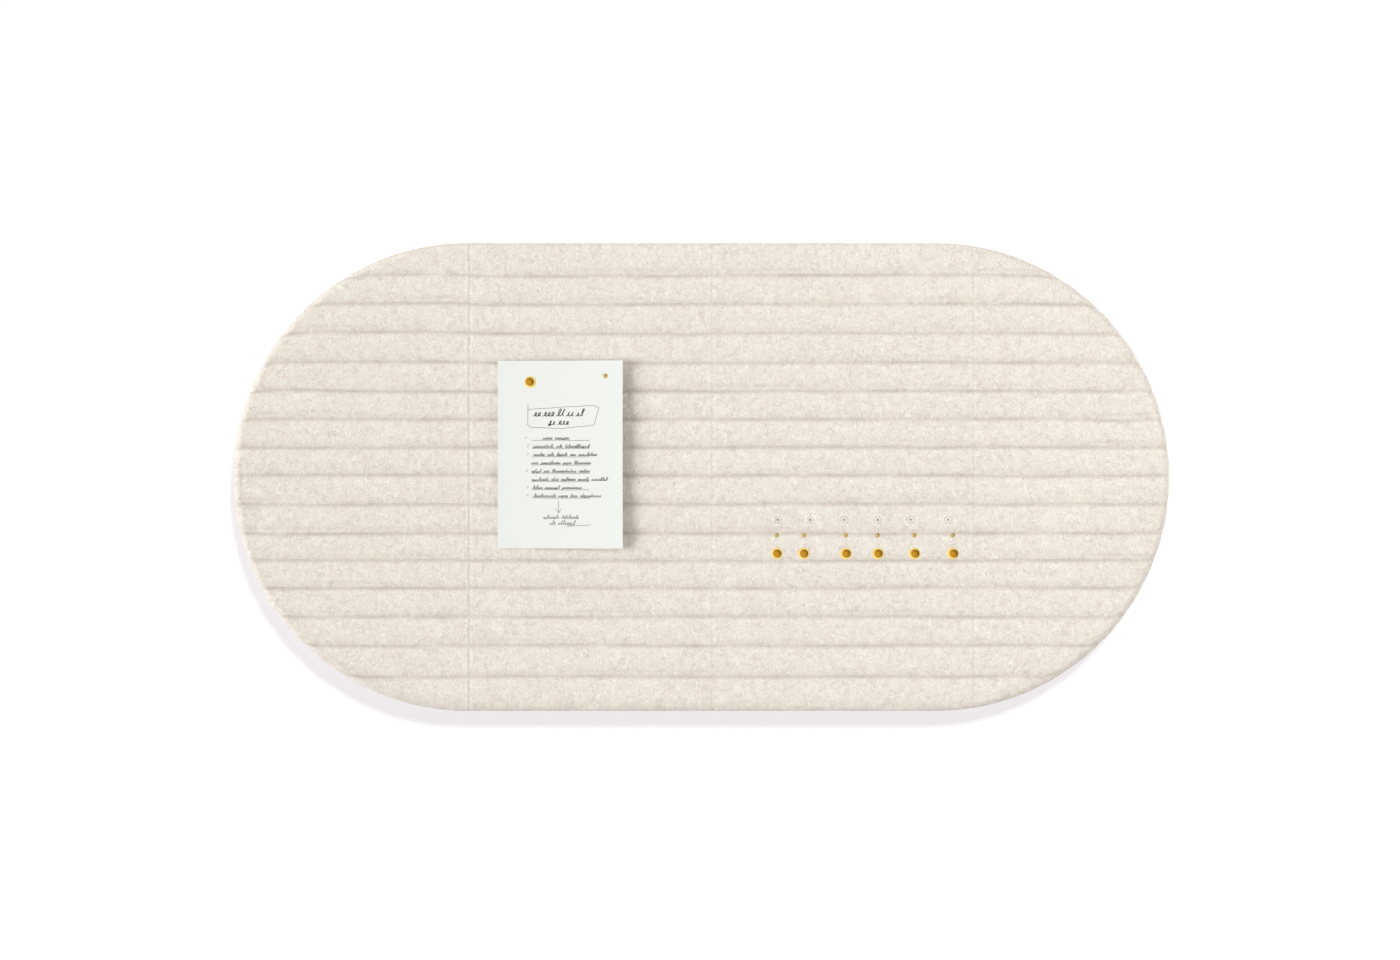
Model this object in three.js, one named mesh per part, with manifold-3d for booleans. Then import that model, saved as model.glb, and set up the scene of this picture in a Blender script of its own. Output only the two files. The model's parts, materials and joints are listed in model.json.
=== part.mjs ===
// Felt bulletin board for a wall: a quilted felt face with sewn channels, wrapped over foam
// and a fibreboard back, with two keyhole hangers behind, its pins, and one pinned note card.
// Millimetres, +Z up. X runs along the board, the wall is the plane y = 0, and the felt
// faces -Y. A depth is a distance in front of the wall, so a point at that depth has y = -depth.

import * as THREE from 'three';
import { mergeVertices } from 'three/addons/utils/BufferGeometryUtils.js';
import Module from 'manifold-3d';

const wasm = await Module();
wasm.setup();

// Board outline: a slab with half-round ends
const boardWidth = 762;
const boardHeight = 381;
const endSteps = 40;

// Layers, from the wall forward
const bumperThickness = 5;
const backingThickness = 6;
const foamThickness = 8;
const quiltBase = 4;
const channelRise = 3;

// Felt cover: sewn channels on the face, a rolled rim, and a return on the back
const channelPitch = 23.3;
const channelShift = 1;
const pillowPower = 4.5;
const pillowShares = [0.05, 0.15, 0.3, 0.55];
const rimRadius = 6;
const rimSteps = 3;
const feltThickness = 3;
const returnWidth = 18;
const returnRadius = 2;
const returnSteps = 1;
const seamShares = [-0.496, 0.022, 0.579];

// Working clearance between touching pieces, and the overrun of a cut
const fitGap = 0.3;
const overrun = 2;

// Keyhole hangers, let into the back
const hangerSpacing = 406.4;
const hangerHeightShare = 0.5;
const plateLength = 50;
const plateWidth = 17;
const plateThickness = 1.2;
const plateScrewSpacing = 37;
const plateArcSteps = 12;
const keyEntryDiameter = 10;
const keySlotWidth = 5;
const keySlotRise = 9;
const pocketWidth = 11.4;
const pocketDepth = 4.7;

// Hanger screws
const screwShankDiameter = 2.9;
const screwShankLength = 4.6;
const screwTipLength = 1.4;
const screwHeadDiameter = 6;
const screwHeadHeight = 1.7;
const screwRecessLength = 3.2;
const screwRecessWidth = 0.8;
const screwRecessDepth = 0.9;
const screwSides = 12;

// Rubber bumpers that stand the board off the wall
const bumperDiameter = 13;
const bumperTaper = 1;
const bumperSides = 20;
const bumperAlongShare = 0.7;
const bumperHeightShare = 0.6;

// Spool-shaped push pins, gold and clear
const spoolFlangeRadius = 4.8;
const spoolFlangeHeight = 1.1;
const spoolWaistRadius = 2.5;
const spoolDrumRadius = 3.7;
const spoolDrumHeight = 2.6;
const spoolEdge = 0.4;
const spoolHeight = 12;
const spoolSocket = 5;
const spoolSides = 16;
const spoolNeedleRadius = 0.55;
const spoolNeedleLength = 10.5;

// Ball-headed pins, gold
const ballRadius = 2.3;
const ballSides = 12;
const ballRings = 6;
const ballSocket = 2.2;
const ballNeedleRadius = 0.4;
const ballNeedleLength = 12;

// All needles
const needlePointLength = 2.4;
const needleSides = 8;
const boreSides = 8;

// Pins in the board, as shares of half the board's width and height
const goldRowShare = -0.3255;
const goldAlongShares = [0.161, 0.218, 0.308, 0.376, 0.454, 0.536];
const ballRowShare = -0.2478;
const ballAlongShares = [0.16, 0.218, 0.307, 0.375, 0.453, 0.535];
const clearRowShare = -0.182;
const clearAlongShares = [0.162, 0.231, 0.304, 0.375, 0.445, 0.525];

// Note card, placed as shares of the board's half sizes, and its pins as shares of the card's
const cardWidth = 101.6;
const cardHeight = 152.4;
const cardThickness = 0.4;
const cardCurl = 7;
const curlPower = 1.6;
const cardSteps = 12;
const cardAlongShare = -0.301;
const cardHeightShare = 0.0955;
const cardGoldPinShares = [-0.478, 0.772];
const cardBallPinShares = [0.724, 0.835];

// Depths of the layers in front of the wall
const backDepth = bumperThickness;
const foamDepth = backDepth + backingThickness;
const quiltDepth = foamDepth + foamThickness;
const valleyDepth = quiltDepth + quiltBase;
const crownDepth = valleyDepth + channelRise;
const returnDepth = backDepth - feltThickness;
const cardDepth = crownDepth + fitGap;

const halfWidth = boardWidth / 2;
const halfHeight = boardHeight / 2;
const halfPitch = channelPitch / 2;
const channelCount = Math.floor(boardHeight / channelPitch);
const sewnLineCount = channelCount - 1;
const coreInset = feltThickness + fitGap;
const quarterTurn = Math.PI / 2;

const finishes = {
  felt: { color: 0xe8dfd4, roughness: 0.95, metalness: 0 },
  foam: { color: 0xd9d4c4, roughness: 0.9, metalness: 0 },
  fibreboard: { color: 0xa88a63, roughness: 0.85, metalness: 0 },
  zincPlate: { color: 0xb9bcc0, roughness: 0.35, metalness: 1 },
  screwSteel: { color: 0xc4c6c9, roughness: 0.3, metalness: 1 },
  rubber: { color: 0x2b2b2d, roughness: 0.8, metalness: 0 },
  card: { color: 0xf1f4ed, roughness: 0.7, metalness: 0 },
  gold: { color: 0xd9a441, roughness: 0.2, metalness: 1 },
  clear: { color: 0xf2efe6, roughness: 0.1, metalness: 0, transparent: true, opacity: 0.4 },
  needleSteel: { color: 0xaeb0b2, roughness: 0.25, metalness: 1 },
};

const board = new THREE.Group();

function addPart(name, geometry, finish, parent = board) {
  const mesh = new THREE.Mesh(geometry, new THREE.MeshStandardMaterial(finishes[finish]));
  mesh.name = name;
  parent.add(mesh);
  return mesh;
}

// Closed geometry to a solid for cuts, and back
function solidFrom(geometry) {
  const plain = geometry.clone();
  plain.deleteAttribute('normal');
  plain.deleteAttribute('uv');
  const merged = mergeVertices(plain);
  return new wasm.Manifold(new wasm.Mesh({
    numProp: 3,
    vertProperties: new Float32Array(merged.attributes.position.array),
    triVerts: new Uint32Array(merged.index.array),
  }));
}

function geometryFrom(solid) {
  const mesh = solid.getMesh();
  const geometry = new THREE.BufferGeometry();
  geometry.setAttribute('position', new THREE.BufferAttribute(mesh.vertProperties, 3));
  geometry.setIndex(new THREE.BufferAttribute(mesh.triVerts, 1));
  geometry.computeVertexNormals();
  return geometry;
}

// Outline with half-round ends, lying along its first size
function stadium(length, width) {
  const radius = width / 2;
  const reach = length / 2 - radius;
  const shape = new THREE.Shape();
  shape.moveTo(-reach, -radius);
  shape.lineTo(reach, -radius);
  shape.absarc(reach, 0, radius, -quarterTurn, quarterTurn);
  shape.lineTo(-reach, radius);
  shape.absarc(-reach, 0, radius, quarterTurn, 3 * quarterTurn);
  return shape;
}

// Shape drawn in X and Z, swept from one depth to another
function swept(shape, fromDepth, toDepth, arcSteps) {
  const geometry = new THREE.ExtrudeGeometry(shape, {
    depth: toDepth - fromDepth,
    bevelEnabled: false,
    curveSegments: arcSteps / 2,
  });
  return geometry.translate(0, 0, fromDepth).rotateX(quarterTurn);
}

// The same with both edges rounded inside the outline
function sweptRound(shape, fromDepth, toDepth, arcSteps, radius, radiusSteps) {
  const geometry = new THREE.ExtrudeGeometry(shape, {
    depth: toDepth - fromDepth - 2 * radius,
    bevelThickness: radius,
    bevelSize: radius,
    bevelOffset: -radius,
    bevelSegments: radiusSteps,
    curveSegments: arcSteps / 2,
  });
  return geometry.translate(0, 0, fromDepth + radius).rotateX(quarterTurn);
}

function boardShape(inset) {
  return stadium(boardWidth - 2 * inset, boardHeight - 2 * inset);
}

// Round rod along the depth, for bores
function bore(x, z, radius, fromDepth, toDepth, sides) {
  const rod = new THREE.CylinderGeometry(radius, radius, toDepth - fromDepth, sides);
  return solidFrom(rod.translate(x, -(fromDepth + toDepth) / 2, z));
}

// Turned geometry, whose axis points from the wall into the room, standing at a place
function standForward(geometry, x, depth, z) {
  return geometry.rotateX(2 * quarterTurn).translate(x, -depth, z);
}

// Felt face: the sewn lines lie between the channels
function sewnLines() {
  const first = channelShift - (sewnLineCount - 1) * halfPitch;
  return Array.from({ length: sewnLineCount }, (_, index) => first + index * channelPitch);
}

function feltDepthAt(z) {
  const nearest = Math.min(...sewnLines().map((line) => Math.abs(z - line)));
  const across = Math.min(nearest / halfPitch, 1);
  return valleyDepth + channelRise * (1 - (1 - across) ** pillowPower);
}

function faceHeights() {
  const lines = sewnLines();
  const heights = [-halfHeight - overrun];
  for (const line of lines) {
    heights.push(line - halfPitch);
    for (const share of pillowShares.toReversed()) {
      heights.push(line - share * halfPitch);
    }
    heights.push(line);
    for (const share of pillowShares) {
      heights.push(line + share * halfPitch);
    }
  }
  heights.push(lines.at(-1) + halfPitch, halfHeight + overrun);
  return heights;
}

function channelPrism() {
  const shape = new THREE.Shape();
  shape.moveTo(0, -halfHeight - overrun);
  for (const z of faceHeights()) {
    shape.lineTo(-feltDepthAt(z), z);
  }
  shape.lineTo(0, halfHeight + overrun);
  const length = boardWidth + 2 * overrun;
  const geometry = new THREE.ExtrudeGeometry(shape, { depth: length, bevelEnabled: false });
  geometry.translate(0, 0, -length / 2).rotateX(quarterTurn).rotateZ(quarterTurn);
  return solidFrom(geometry);
}

// Whole cover before it is divided: ribbed in front, hollow for the core, turned in behind
function feltCover() {
  const outline = boardShape(0);
  const frontRoll = sweptRound(
    outline, -rimRadius - overrun, crownDepth + fitGap, endSteps, rimRadius, rimSteps);
  const backRoll = sweptRound(
    outline, returnDepth, crownDepth + rimRadius + overrun, endSteps, returnRadius, returnSteps);
  const core = swept(
    boardShape(feltThickness), backDepth - fitGap, quiltDepth + fitGap, endSteps);
  const mouth = swept(
    boardShape(feltThickness + returnWidth), returnDepth - overrun, backDepth, endSteps);
  return channelPrism()
    .intersect(solidFrom(frontRoll))
    .intersect(solidFrom(backRoll))
    .subtract(solidFrom(core))
    .subtract(solidFrom(mouth));
}

// Block across the whole board between two places along X
function slice(fromX, toX) {
  const box = new THREE.BoxGeometry(toX - fromX, crownDepth + 2 * overrun, boardHeight + 2 * overrun);
  return solidFrom(box.translate((fromX + toX) / 2, -crownDepth / 2, 0));
}

function withBores(solid, pins) {
  return pins.reduce((left, pin) => left.subtract(bore(
    pin.x, pin.z, pin.needleRadius + fitGap, pin.tipDepth - fitGap, pin.headDepth, boreSides,
  )), solid);
}

function addFelt(pins) {
  const cover = withBores(feltCover(), pins);
  const names = ['felt_left_end', 'felt_centre_left', 'felt_centre_right', 'felt_right_end'];
  const seams = seamShares.map((share) => share * halfWidth);
  const starts = [-halfWidth - overrun, ...seams.map((x) => x + fitGap / 2)];
  const ends = [...seams.map((x) => x - fitGap / 2), halfWidth + overrun];
  names.forEach((name, index) => {
    const panel = cover.intersect(slice(starts[index], ends[index]));
    addPart(name, geometryFrom(panel), 'felt');
  });
}

// Core: foam over a fibreboard back with two routed pockets
function hangerPlaces() {
  const z = hangerHeightShare * halfHeight;
  return [
    { side: 'left', x: -hangerSpacing / 2, z },
    { side: 'right', x: hangerSpacing / 2, z },
  ];
}

function screwHeights(hanger) {
  return [
    { end: 'top', z: hanger.z + plateScrewSpacing / 2 },
    { end: 'bottom', z: hanger.z - plateScrewSpacing / 2 },
  ];
}

// Upright slot with round ends, from the key's entry to the top of its slot
function uprightSlot(width, fromDepth, toDepth, hanger) {
  const shape = stadium(keySlotRise + width, width);
  const geometry = swept(shape, fromDepth, toDepth, plateArcSteps);
  return solidFrom(geometry.rotateY(quarterTurn).translate(hanger.x, 0, hanger.z));
}

function addCore(pins) {
  const foam = swept(boardShape(coreInset), foamDepth, quiltDepth, endSteps);
  addPart('foam_pad', geometryFrom(withBores(solidFrom(foam), pins)), 'foam');

  let backing = solidFrom(swept(boardShape(coreInset), backDepth, foamDepth, endSteps));
  for (const hanger of hangerPlaces()) {
    backing = backing.subtract(
      uprightSlot(pocketWidth, backDepth - overrun, backDepth + pocketDepth, hanger));
    for (const screw of screwHeights(hanger)) {
      backing = backing.subtract(bore(
        hanger.x, screw.z, screwShankDiameter / 2 + fitGap,
        backDepth - overrun, backDepth + screwShankLength + fitGap, screwSides,
      ));
    }
  }
  addPart('backing_board', geometryFrom(withBores(backing, pins)), 'fibreboard');
}

// Keyhole hangers
function hangerPlate(hanger) {
  const rearDepth = backDepth - plateThickness;
  const blank = swept(stadium(plateLength, plateWidth), rearDepth, backDepth, plateArcSteps);
  let plate = solidFrom(blank.rotateY(quarterTurn).translate(hanger.x, 0, hanger.z));
  const entryZ = hanger.z - keySlotRise / 2;
  const cutFrom = rearDepth - overrun;
  const cutTo = backDepth + overrun;
  plate = plate.subtract(uprightSlot(keySlotWidth, cutFrom, cutTo, hanger));
  plate = plate.subtract(
    bore(hanger.x, entryZ, keyEntryDiameter / 2, cutFrom, cutTo, 2 * plateArcSteps));
  for (const screw of screwHeights(hanger)) {
    const radius = screwShankDiameter / 2 + fitGap;
    plate = plate.subtract(bore(hanger.x, screw.z, radius, cutFrom, cutTo, screwSides));
  }
  return geometryFrom(plate);
}

// Pan-head screw, drawn with its head at the wall side and its point in the backing
function hangerScrew(x, z) {
  const rearDepth = backDepth - plateThickness;
  const headRadius = screwHeadDiameter / 2;
  const shankRadius = screwShankDiameter / 2;
  const profile = [
    new THREE.Vector2(0, -screwHeadHeight),
    new THREE.Vector2(headRadius / 2, -screwHeadHeight),
    new THREE.Vector2(headRadius, -screwHeadHeight / 2),
    new THREE.Vector2(headRadius, 0),
    new THREE.Vector2(shankRadius, 0),
    new THREE.Vector2(shankRadius, plateThickness + screwShankLength - screwTipLength),
    new THREE.Vector2(0, plateThickness + screwShankLength),
  ];
  const turned = new THREE.LatheGeometry(profile, screwSides);
  let screw = solidFrom(standForward(turned, x, rearDepth, z));
  for (const across of [false, true]) {
    const recess = new THREE.BoxGeometry(
      across ? screwRecessWidth : screwRecessLength,
      2 * screwRecessDepth,
      across ? screwRecessLength : screwRecessWidth,
    );
    screw = screw.subtract(solidFrom(recess.translate(x, screwHeadHeight - rearDepth, z)));
  }
  return geometryFrom(screw);
}

function addHangers() {
  for (const hanger of hangerPlaces()) {
    addPart(`hanger_plate_${hanger.side}`, hangerPlate(hanger), 'zincPlate');
    for (const screw of screwHeights(hanger)) {
      const name = `hanger_screw_${hanger.side}_${screw.end}`;
      addPart(name, hangerScrew(hanger.x, screw.z), 'screwSteel');
    }
  }
}

function addBumpers() {
  const radius = bumperDiameter / 2;
  const profile = [
    new THREE.Vector2(0, 0),
    new THREE.Vector2(radius - bumperTaper, 0),
    new THREE.Vector2(radius, bumperTaper),
    new THREE.Vector2(radius, bumperThickness),
    new THREE.Vector2(0, bumperThickness),
  ];
  for (const [side, sideSign] of [['left', -1], ['right', 1]]) {
    for (const [end, endSign] of [['top', 1], ['bottom', -1]]) {
      const x = sideSign * bumperAlongShare * halfWidth;
      const z = endSign * bumperHeightShare * halfHeight;
      const turned = new THREE.LatheGeometry(profile, bumperSides);
      addPart(`bumper_${side}_${end}`, standForward(turned, x, 0, z), 'rubber');
    }
  }
}

// Note card: pinned near its top, its right edge curling away from the felt
function cardLiftAt(x) {
  const fromLeft = x - cardAlongShare * halfWidth + cardWidth / 2;
  const across = Math.min(Math.max(fromLeft / cardWidth, 0), 1);
  return cardCurl * across ** curlPower;
}

function addCard(pins, parent) {
  const centreX = cardAlongShare * halfWidth;
  const centreZ = cardHeightShare * halfHeight;
  const places = Array.from(
    { length: cardSteps + 1 }, (_, index) => centreX + (index / cardSteps - 1 / 2) * cardWidth);
  const shape = new THREE.Shape();
  shape.moveTo(places[0], -cardDepth - cardLiftAt(places[0]));
  for (const x of places.slice(1)) {
    shape.lineTo(x, -cardDepth - cardLiftAt(x));
  }
  for (const x of places.toReversed()) {
    shape.lineTo(x, -cardDepth - cardLiftAt(x) - cardThickness);
  }
  const geometry = new THREE.ExtrudeGeometry(shape, { depth: cardHeight, bevelEnabled: false });
  const card = solidFrom(geometry.translate(0, 0, centreZ - cardHeight / 2));
  addPart('note_card', geometryFrom(withBores(card, pins)), 'card', parent);
}

// Pin heads, drawn with the underside at zero and the needle's socket inside
function spoolProfile() {
  const socketRadius = spoolNeedleRadius + fitGap;
  const drumStart = spoolHeight - spoolDrumHeight;
  const shoulder = (spoolDrumRadius - spoolWaistRadius) / 2;
  return [
    new THREE.Vector2(0, spoolSocket + fitGap),
    new THREE.Vector2(socketRadius, spoolSocket + fitGap),
    new THREE.Vector2(socketRadius, 0),
    new THREE.Vector2(spoolFlangeRadius - spoolEdge, 0),
    new THREE.Vector2(spoolFlangeRadius, spoolEdge),
    new THREE.Vector2(spoolFlangeRadius, spoolFlangeHeight),
    new THREE.Vector2(spoolWaistRadius + shoulder, spoolFlangeHeight + shoulder),
    new THREE.Vector2(spoolWaistRadius, spoolFlangeHeight + 3 * shoulder),
    new THREE.Vector2(spoolWaistRadius, drumStart - 3 * shoulder),
    new THREE.Vector2(spoolDrumRadius, drumStart),
    new THREE.Vector2(spoolDrumRadius, spoolHeight - spoolEdge),
    new THREE.Vector2(spoolDrumRadius - spoolEdge, spoolHeight),
    new THREE.Vector2(0, spoolHeight),
  ];
}

function ballProfile() {
  const socketRadius = ballNeedleRadius + fitGap;
  const start = Math.asin(socketRadius / ballRadius);
  const profile = [
    new THREE.Vector2(0, ballSocket + fitGap),
    new THREE.Vector2(socketRadius, ballSocket + fitGap),
  ];
  for (let ring = 0; ring < ballRings; ring += 1) {
    const angle = start + (ring / ballRings) * (Math.PI - start);
    profile.push(new THREE.Vector2(
      ballRadius * Math.sin(angle), ballRadius * (1 - Math.cos(angle))));
  }
  profile.push(new THREE.Vector2(0, 2 * ballRadius));
  return profile;
}

const pinKinds = {
  gold: {
    profile: spoolProfile(), sides: spoolSides, finish: 'gold',
    footRadius: spoolFlangeRadius, underside: () => 0, socket: spoolSocket,
    needleRadius: spoolNeedleRadius, needleLength: spoolNeedleLength,
  },
  clear: {
    profile: spoolProfile(), sides: spoolSides, finish: 'clear',
    footRadius: spoolFlangeRadius, underside: () => 0, socket: spoolSocket,
    needleRadius: spoolNeedleRadius, needleLength: spoolNeedleLength,
  },
  ball: {
    profile: ballProfile(), sides: ballSides, finish: 'gold',
    footRadius: ballRadius, socket: ballSocket,
    underside: (offset) => ballRadius - Math.sqrt(ballRadius ** 2 - offset ** 2),
    needleRadius: ballNeedleRadius, needleLength: ballNeedleLength,
  },
};

// Depth at which a head just clears the surface under its whole foot
function headDepthOver(kind, surfaceAt) {
  const clearances = [];
  for (let step = -boreSides; step <= boreSides; step += 1) {
    const offset = (step / boreSides) * kind.footRadius;
    clearances.push(surfaceAt(offset) - kind.underside(offset));
  }
  return Math.max(...clearances) + fitGap;
}

function pinAt(name, kindName, x, z, surfaceAt) {
  const kind = pinKinds[kindName];
  const headDepth = headDepthOver(kind, surfaceAt);
  const { needleRadius } = kind;
  return { name, kind, x, z, headDepth, needleRadius, tipDepth: headDepth - kind.needleLength };
}

function boardPins() {
  const rows = [
    ['gold', goldRowShare, goldAlongShares],
    ['ball', ballRowShare, ballAlongShares],
    ['clear', clearRowShare, clearAlongShares],
  ];
  return rows.flatMap(([kindName, rowShare, alongShares]) => alongShares.map((share, index) => {
    const z = rowShare * halfHeight;
    const name = `${kindName}_pin_${index + 1}`;
    return pinAt(name, kindName, share * halfWidth, z, (offset) => feltDepthAt(z + offset));
  }));
}

function cardPins() {
  const pins = [
    ['gold', cardGoldPinShares],
    ['ball', cardBallPinShares],
  ];
  return pins.map(([kindName, [alongShare, heightShare]]) => {
    const x = cardAlongShare * halfWidth + alongShare * cardWidth / 2;
    const z = cardHeightShare * halfHeight + heightShare * cardHeight / 2;
    const surfaceAt = (offset) => cardDepth + cardLiftAt(x + offset) + cardThickness;
    return pinAt(`note_${kindName}_pin`, kindName, x, z, surfaceAt);
  });
}

function needleGeometry(kind) {
  const profile = [
    new THREE.Vector2(0, -kind.needleLength),
    new THREE.Vector2(kind.needleRadius, needlePointLength - kind.needleLength),
    new THREE.Vector2(kind.needleRadius, kind.socket),
    new THREE.Vector2(0, kind.socket),
  ];
  return new THREE.LatheGeometry(profile, needleSides);
}

function addPins(pins, parent = board) {
  for (const { name, kind, x, z, headDepth } of pins) {
    const head = new THREE.LatheGeometry(kind.profile, kind.sides);
    const needle = needleGeometry(kind);
    addPart(`${name}_head`, standForward(head, x, headDepth, z), kind.finish, parent);
    addPart(`${name}_needle`, standForward(needle, x, headDepth, z), 'needleSteel', parent);
  }
}

const inBoard = boardPins();
const inCard = cardPins();
const note = new THREE.Group();

addFelt([...inBoard, ...inCard]);
addCore([...inBoard, ...inCard]);
addHangers();
addBumpers();
addPins(inBoard);
addCard(inCard, note);
addPins(inCard, note);
board.add(note);

export default board;
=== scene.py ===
# Felt bulletin board: the looks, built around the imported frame. Metres, +Z up, felt facing -Y.
# A depth is a distance in front of the wall, so a point at that depth has y = -depth.
import json
import math

import bmesh
import bpy
import numpy as np
from mathutils import Matrix, Vector

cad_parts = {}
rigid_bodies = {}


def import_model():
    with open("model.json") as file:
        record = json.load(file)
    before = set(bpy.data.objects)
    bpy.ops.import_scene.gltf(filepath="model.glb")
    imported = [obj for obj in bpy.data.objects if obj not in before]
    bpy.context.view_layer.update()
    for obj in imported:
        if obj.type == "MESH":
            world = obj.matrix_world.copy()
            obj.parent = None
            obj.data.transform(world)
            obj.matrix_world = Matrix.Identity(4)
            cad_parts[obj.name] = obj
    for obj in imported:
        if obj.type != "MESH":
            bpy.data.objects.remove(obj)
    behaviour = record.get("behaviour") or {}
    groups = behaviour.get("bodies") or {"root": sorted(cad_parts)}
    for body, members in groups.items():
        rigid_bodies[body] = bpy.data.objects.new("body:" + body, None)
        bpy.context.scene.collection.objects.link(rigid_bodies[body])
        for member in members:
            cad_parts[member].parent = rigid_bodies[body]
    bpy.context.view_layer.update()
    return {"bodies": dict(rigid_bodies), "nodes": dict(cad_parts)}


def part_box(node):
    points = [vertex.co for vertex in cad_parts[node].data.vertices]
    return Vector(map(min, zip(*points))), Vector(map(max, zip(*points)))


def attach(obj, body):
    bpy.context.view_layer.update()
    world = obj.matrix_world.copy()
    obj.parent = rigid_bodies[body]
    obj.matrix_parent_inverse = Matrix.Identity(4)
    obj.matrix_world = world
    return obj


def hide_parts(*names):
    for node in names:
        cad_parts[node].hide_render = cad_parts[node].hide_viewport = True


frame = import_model()
mm = 0.001
quarterTurn = math.pi / 2
print("frame loaded:", len(frame["nodes"]), "nodes")


# Measures that every piece shares, taken from the frame
def depthsOf(node):
    low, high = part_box(node)
    return -high.y, -low.y


def middleOf(node):
    low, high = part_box(node)
    return (low + high) / 2


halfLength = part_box("felt_right_end")[1].x
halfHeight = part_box("felt_centre_left")[1].z
armReach = halfLength - halfHeight
returnDepth, crownDepth = depthsOf("felt_centre_left")
backDepth = depthsOf("backing_board")[0]
quiltDepth = depthsOf("foam_pad")[1]


def smoothStep(share):
    share = np.clip(share, 0, 1)
    return share * share * (3 - 2 * share)


# Seeded noise from 0 to 1, on a lattice that reaches past the board
def latticeNoise(x, z, cellX, cellZ, seed):
    reachX, reachZ = 0.5, 0.35
    values = np.random.default_rng(seed).random(
        (int(2 * reachZ / cellZ) + 3, int(2 * reachX / cellX) + 3))
    u, v = (x + reachX) / cellX, (z + reachZ) / cellZ
    column, row = np.floor(u).astype(int), np.floor(v).astype(int)
    fadeU, fadeV = smoothStep(u - column), smoothStep(v - row)
    low = values[row, column] * (1 - fadeU) + values[row, column + 1] * fadeU
    high = values[row + 1, column] * (1 - fadeU) + values[row + 1, column + 1] * fadeU
    return low * (1 - fadeV) + high * fadeV


# Materials
def linear(hexColour):
    channels = [int(hexColour[start:start + 2], 16) / 255 for start in (1, 3, 5)]
    return [c / 12.92 if c <= 0.04045 else ((c + 0.055) / 1.055) ** 2.4 for c in channels] + [1.0]


def addNode(tree, kind, settings=None, links=None):
    node = tree.nodes.new("ShaderNode" + kind)
    for name, value in (settings or {}).items():
        if isinstance(name, int) or name in node.inputs:
            node.inputs[name].default_value = value
        else:
            setattr(node, name, value)
    for name, source in (links or {}).items():
        tree.links.new(source, node.inputs[name])
    return node


def newMaterial(name):
    material = bpy.data.materials.new(name)
    material.use_nodes = True
    material.node_tree.nodes.clear()
    return material, material.node_tree


def finishMaterial(tree, settings, links):
    shader = addNode(tree, "BsdfPrincipled", settings, links)
    addNode(tree, "OutputMaterial", None, {"Surface": shader.outputs["BSDF"]})


# Object coordinates stretched so that a pattern's cell is 1 wide: sizes are in millimetres
def patternSpace(tree, sizes):
    place = addNode(tree, "TexCoord").outputs["Object"]
    scale = [1 / (size * mm) for size in sizes]
    return addNode(tree, "Mapping", {"Scale": scale}, {"Vector": place}).outputs["Vector"]


woolFelt = {
    # The hollow colour is painted shade, and so is the crease colour, for creases, seams and the
    # lower roll. The curl colour is partly a painted highlight
    "curl": "#fffcf2", "ground": "#efe4da", "hollow": "#dcd1c8", "crease": "#bfb4b1",
    # Each pattern's cell in millimetres, its detail and its distortion
    "patterns": {"curl": ((3.8, 3.8, 5.0), 2.0, 1.5), "hollow": ((6.5, 6.5, 5.0), 3.0, 0.8),
                 "fibre": ((1.1, 1.1, 1.1), 3.0, 2.2), "cloud": ((45, 45, 45), 2.0, 0.0)},
    # Where in its pattern each effect starts and is full, and how strong it is there
    "masks": {"line": (0.055, 0.0, 1.0), "tuft": (0.5, 1.0, 1.0), "hollow": (0.56, 0.34, 0.75)},
    "tuftShare": 0.4, "fibreShare": 0.32, "cloudShare": 0.16,
    "fibreBump": 0.3, "fibreBumpMm": 0.25, "curlBump": 0.4, "curlBumpMm": 0.4,
}
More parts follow.
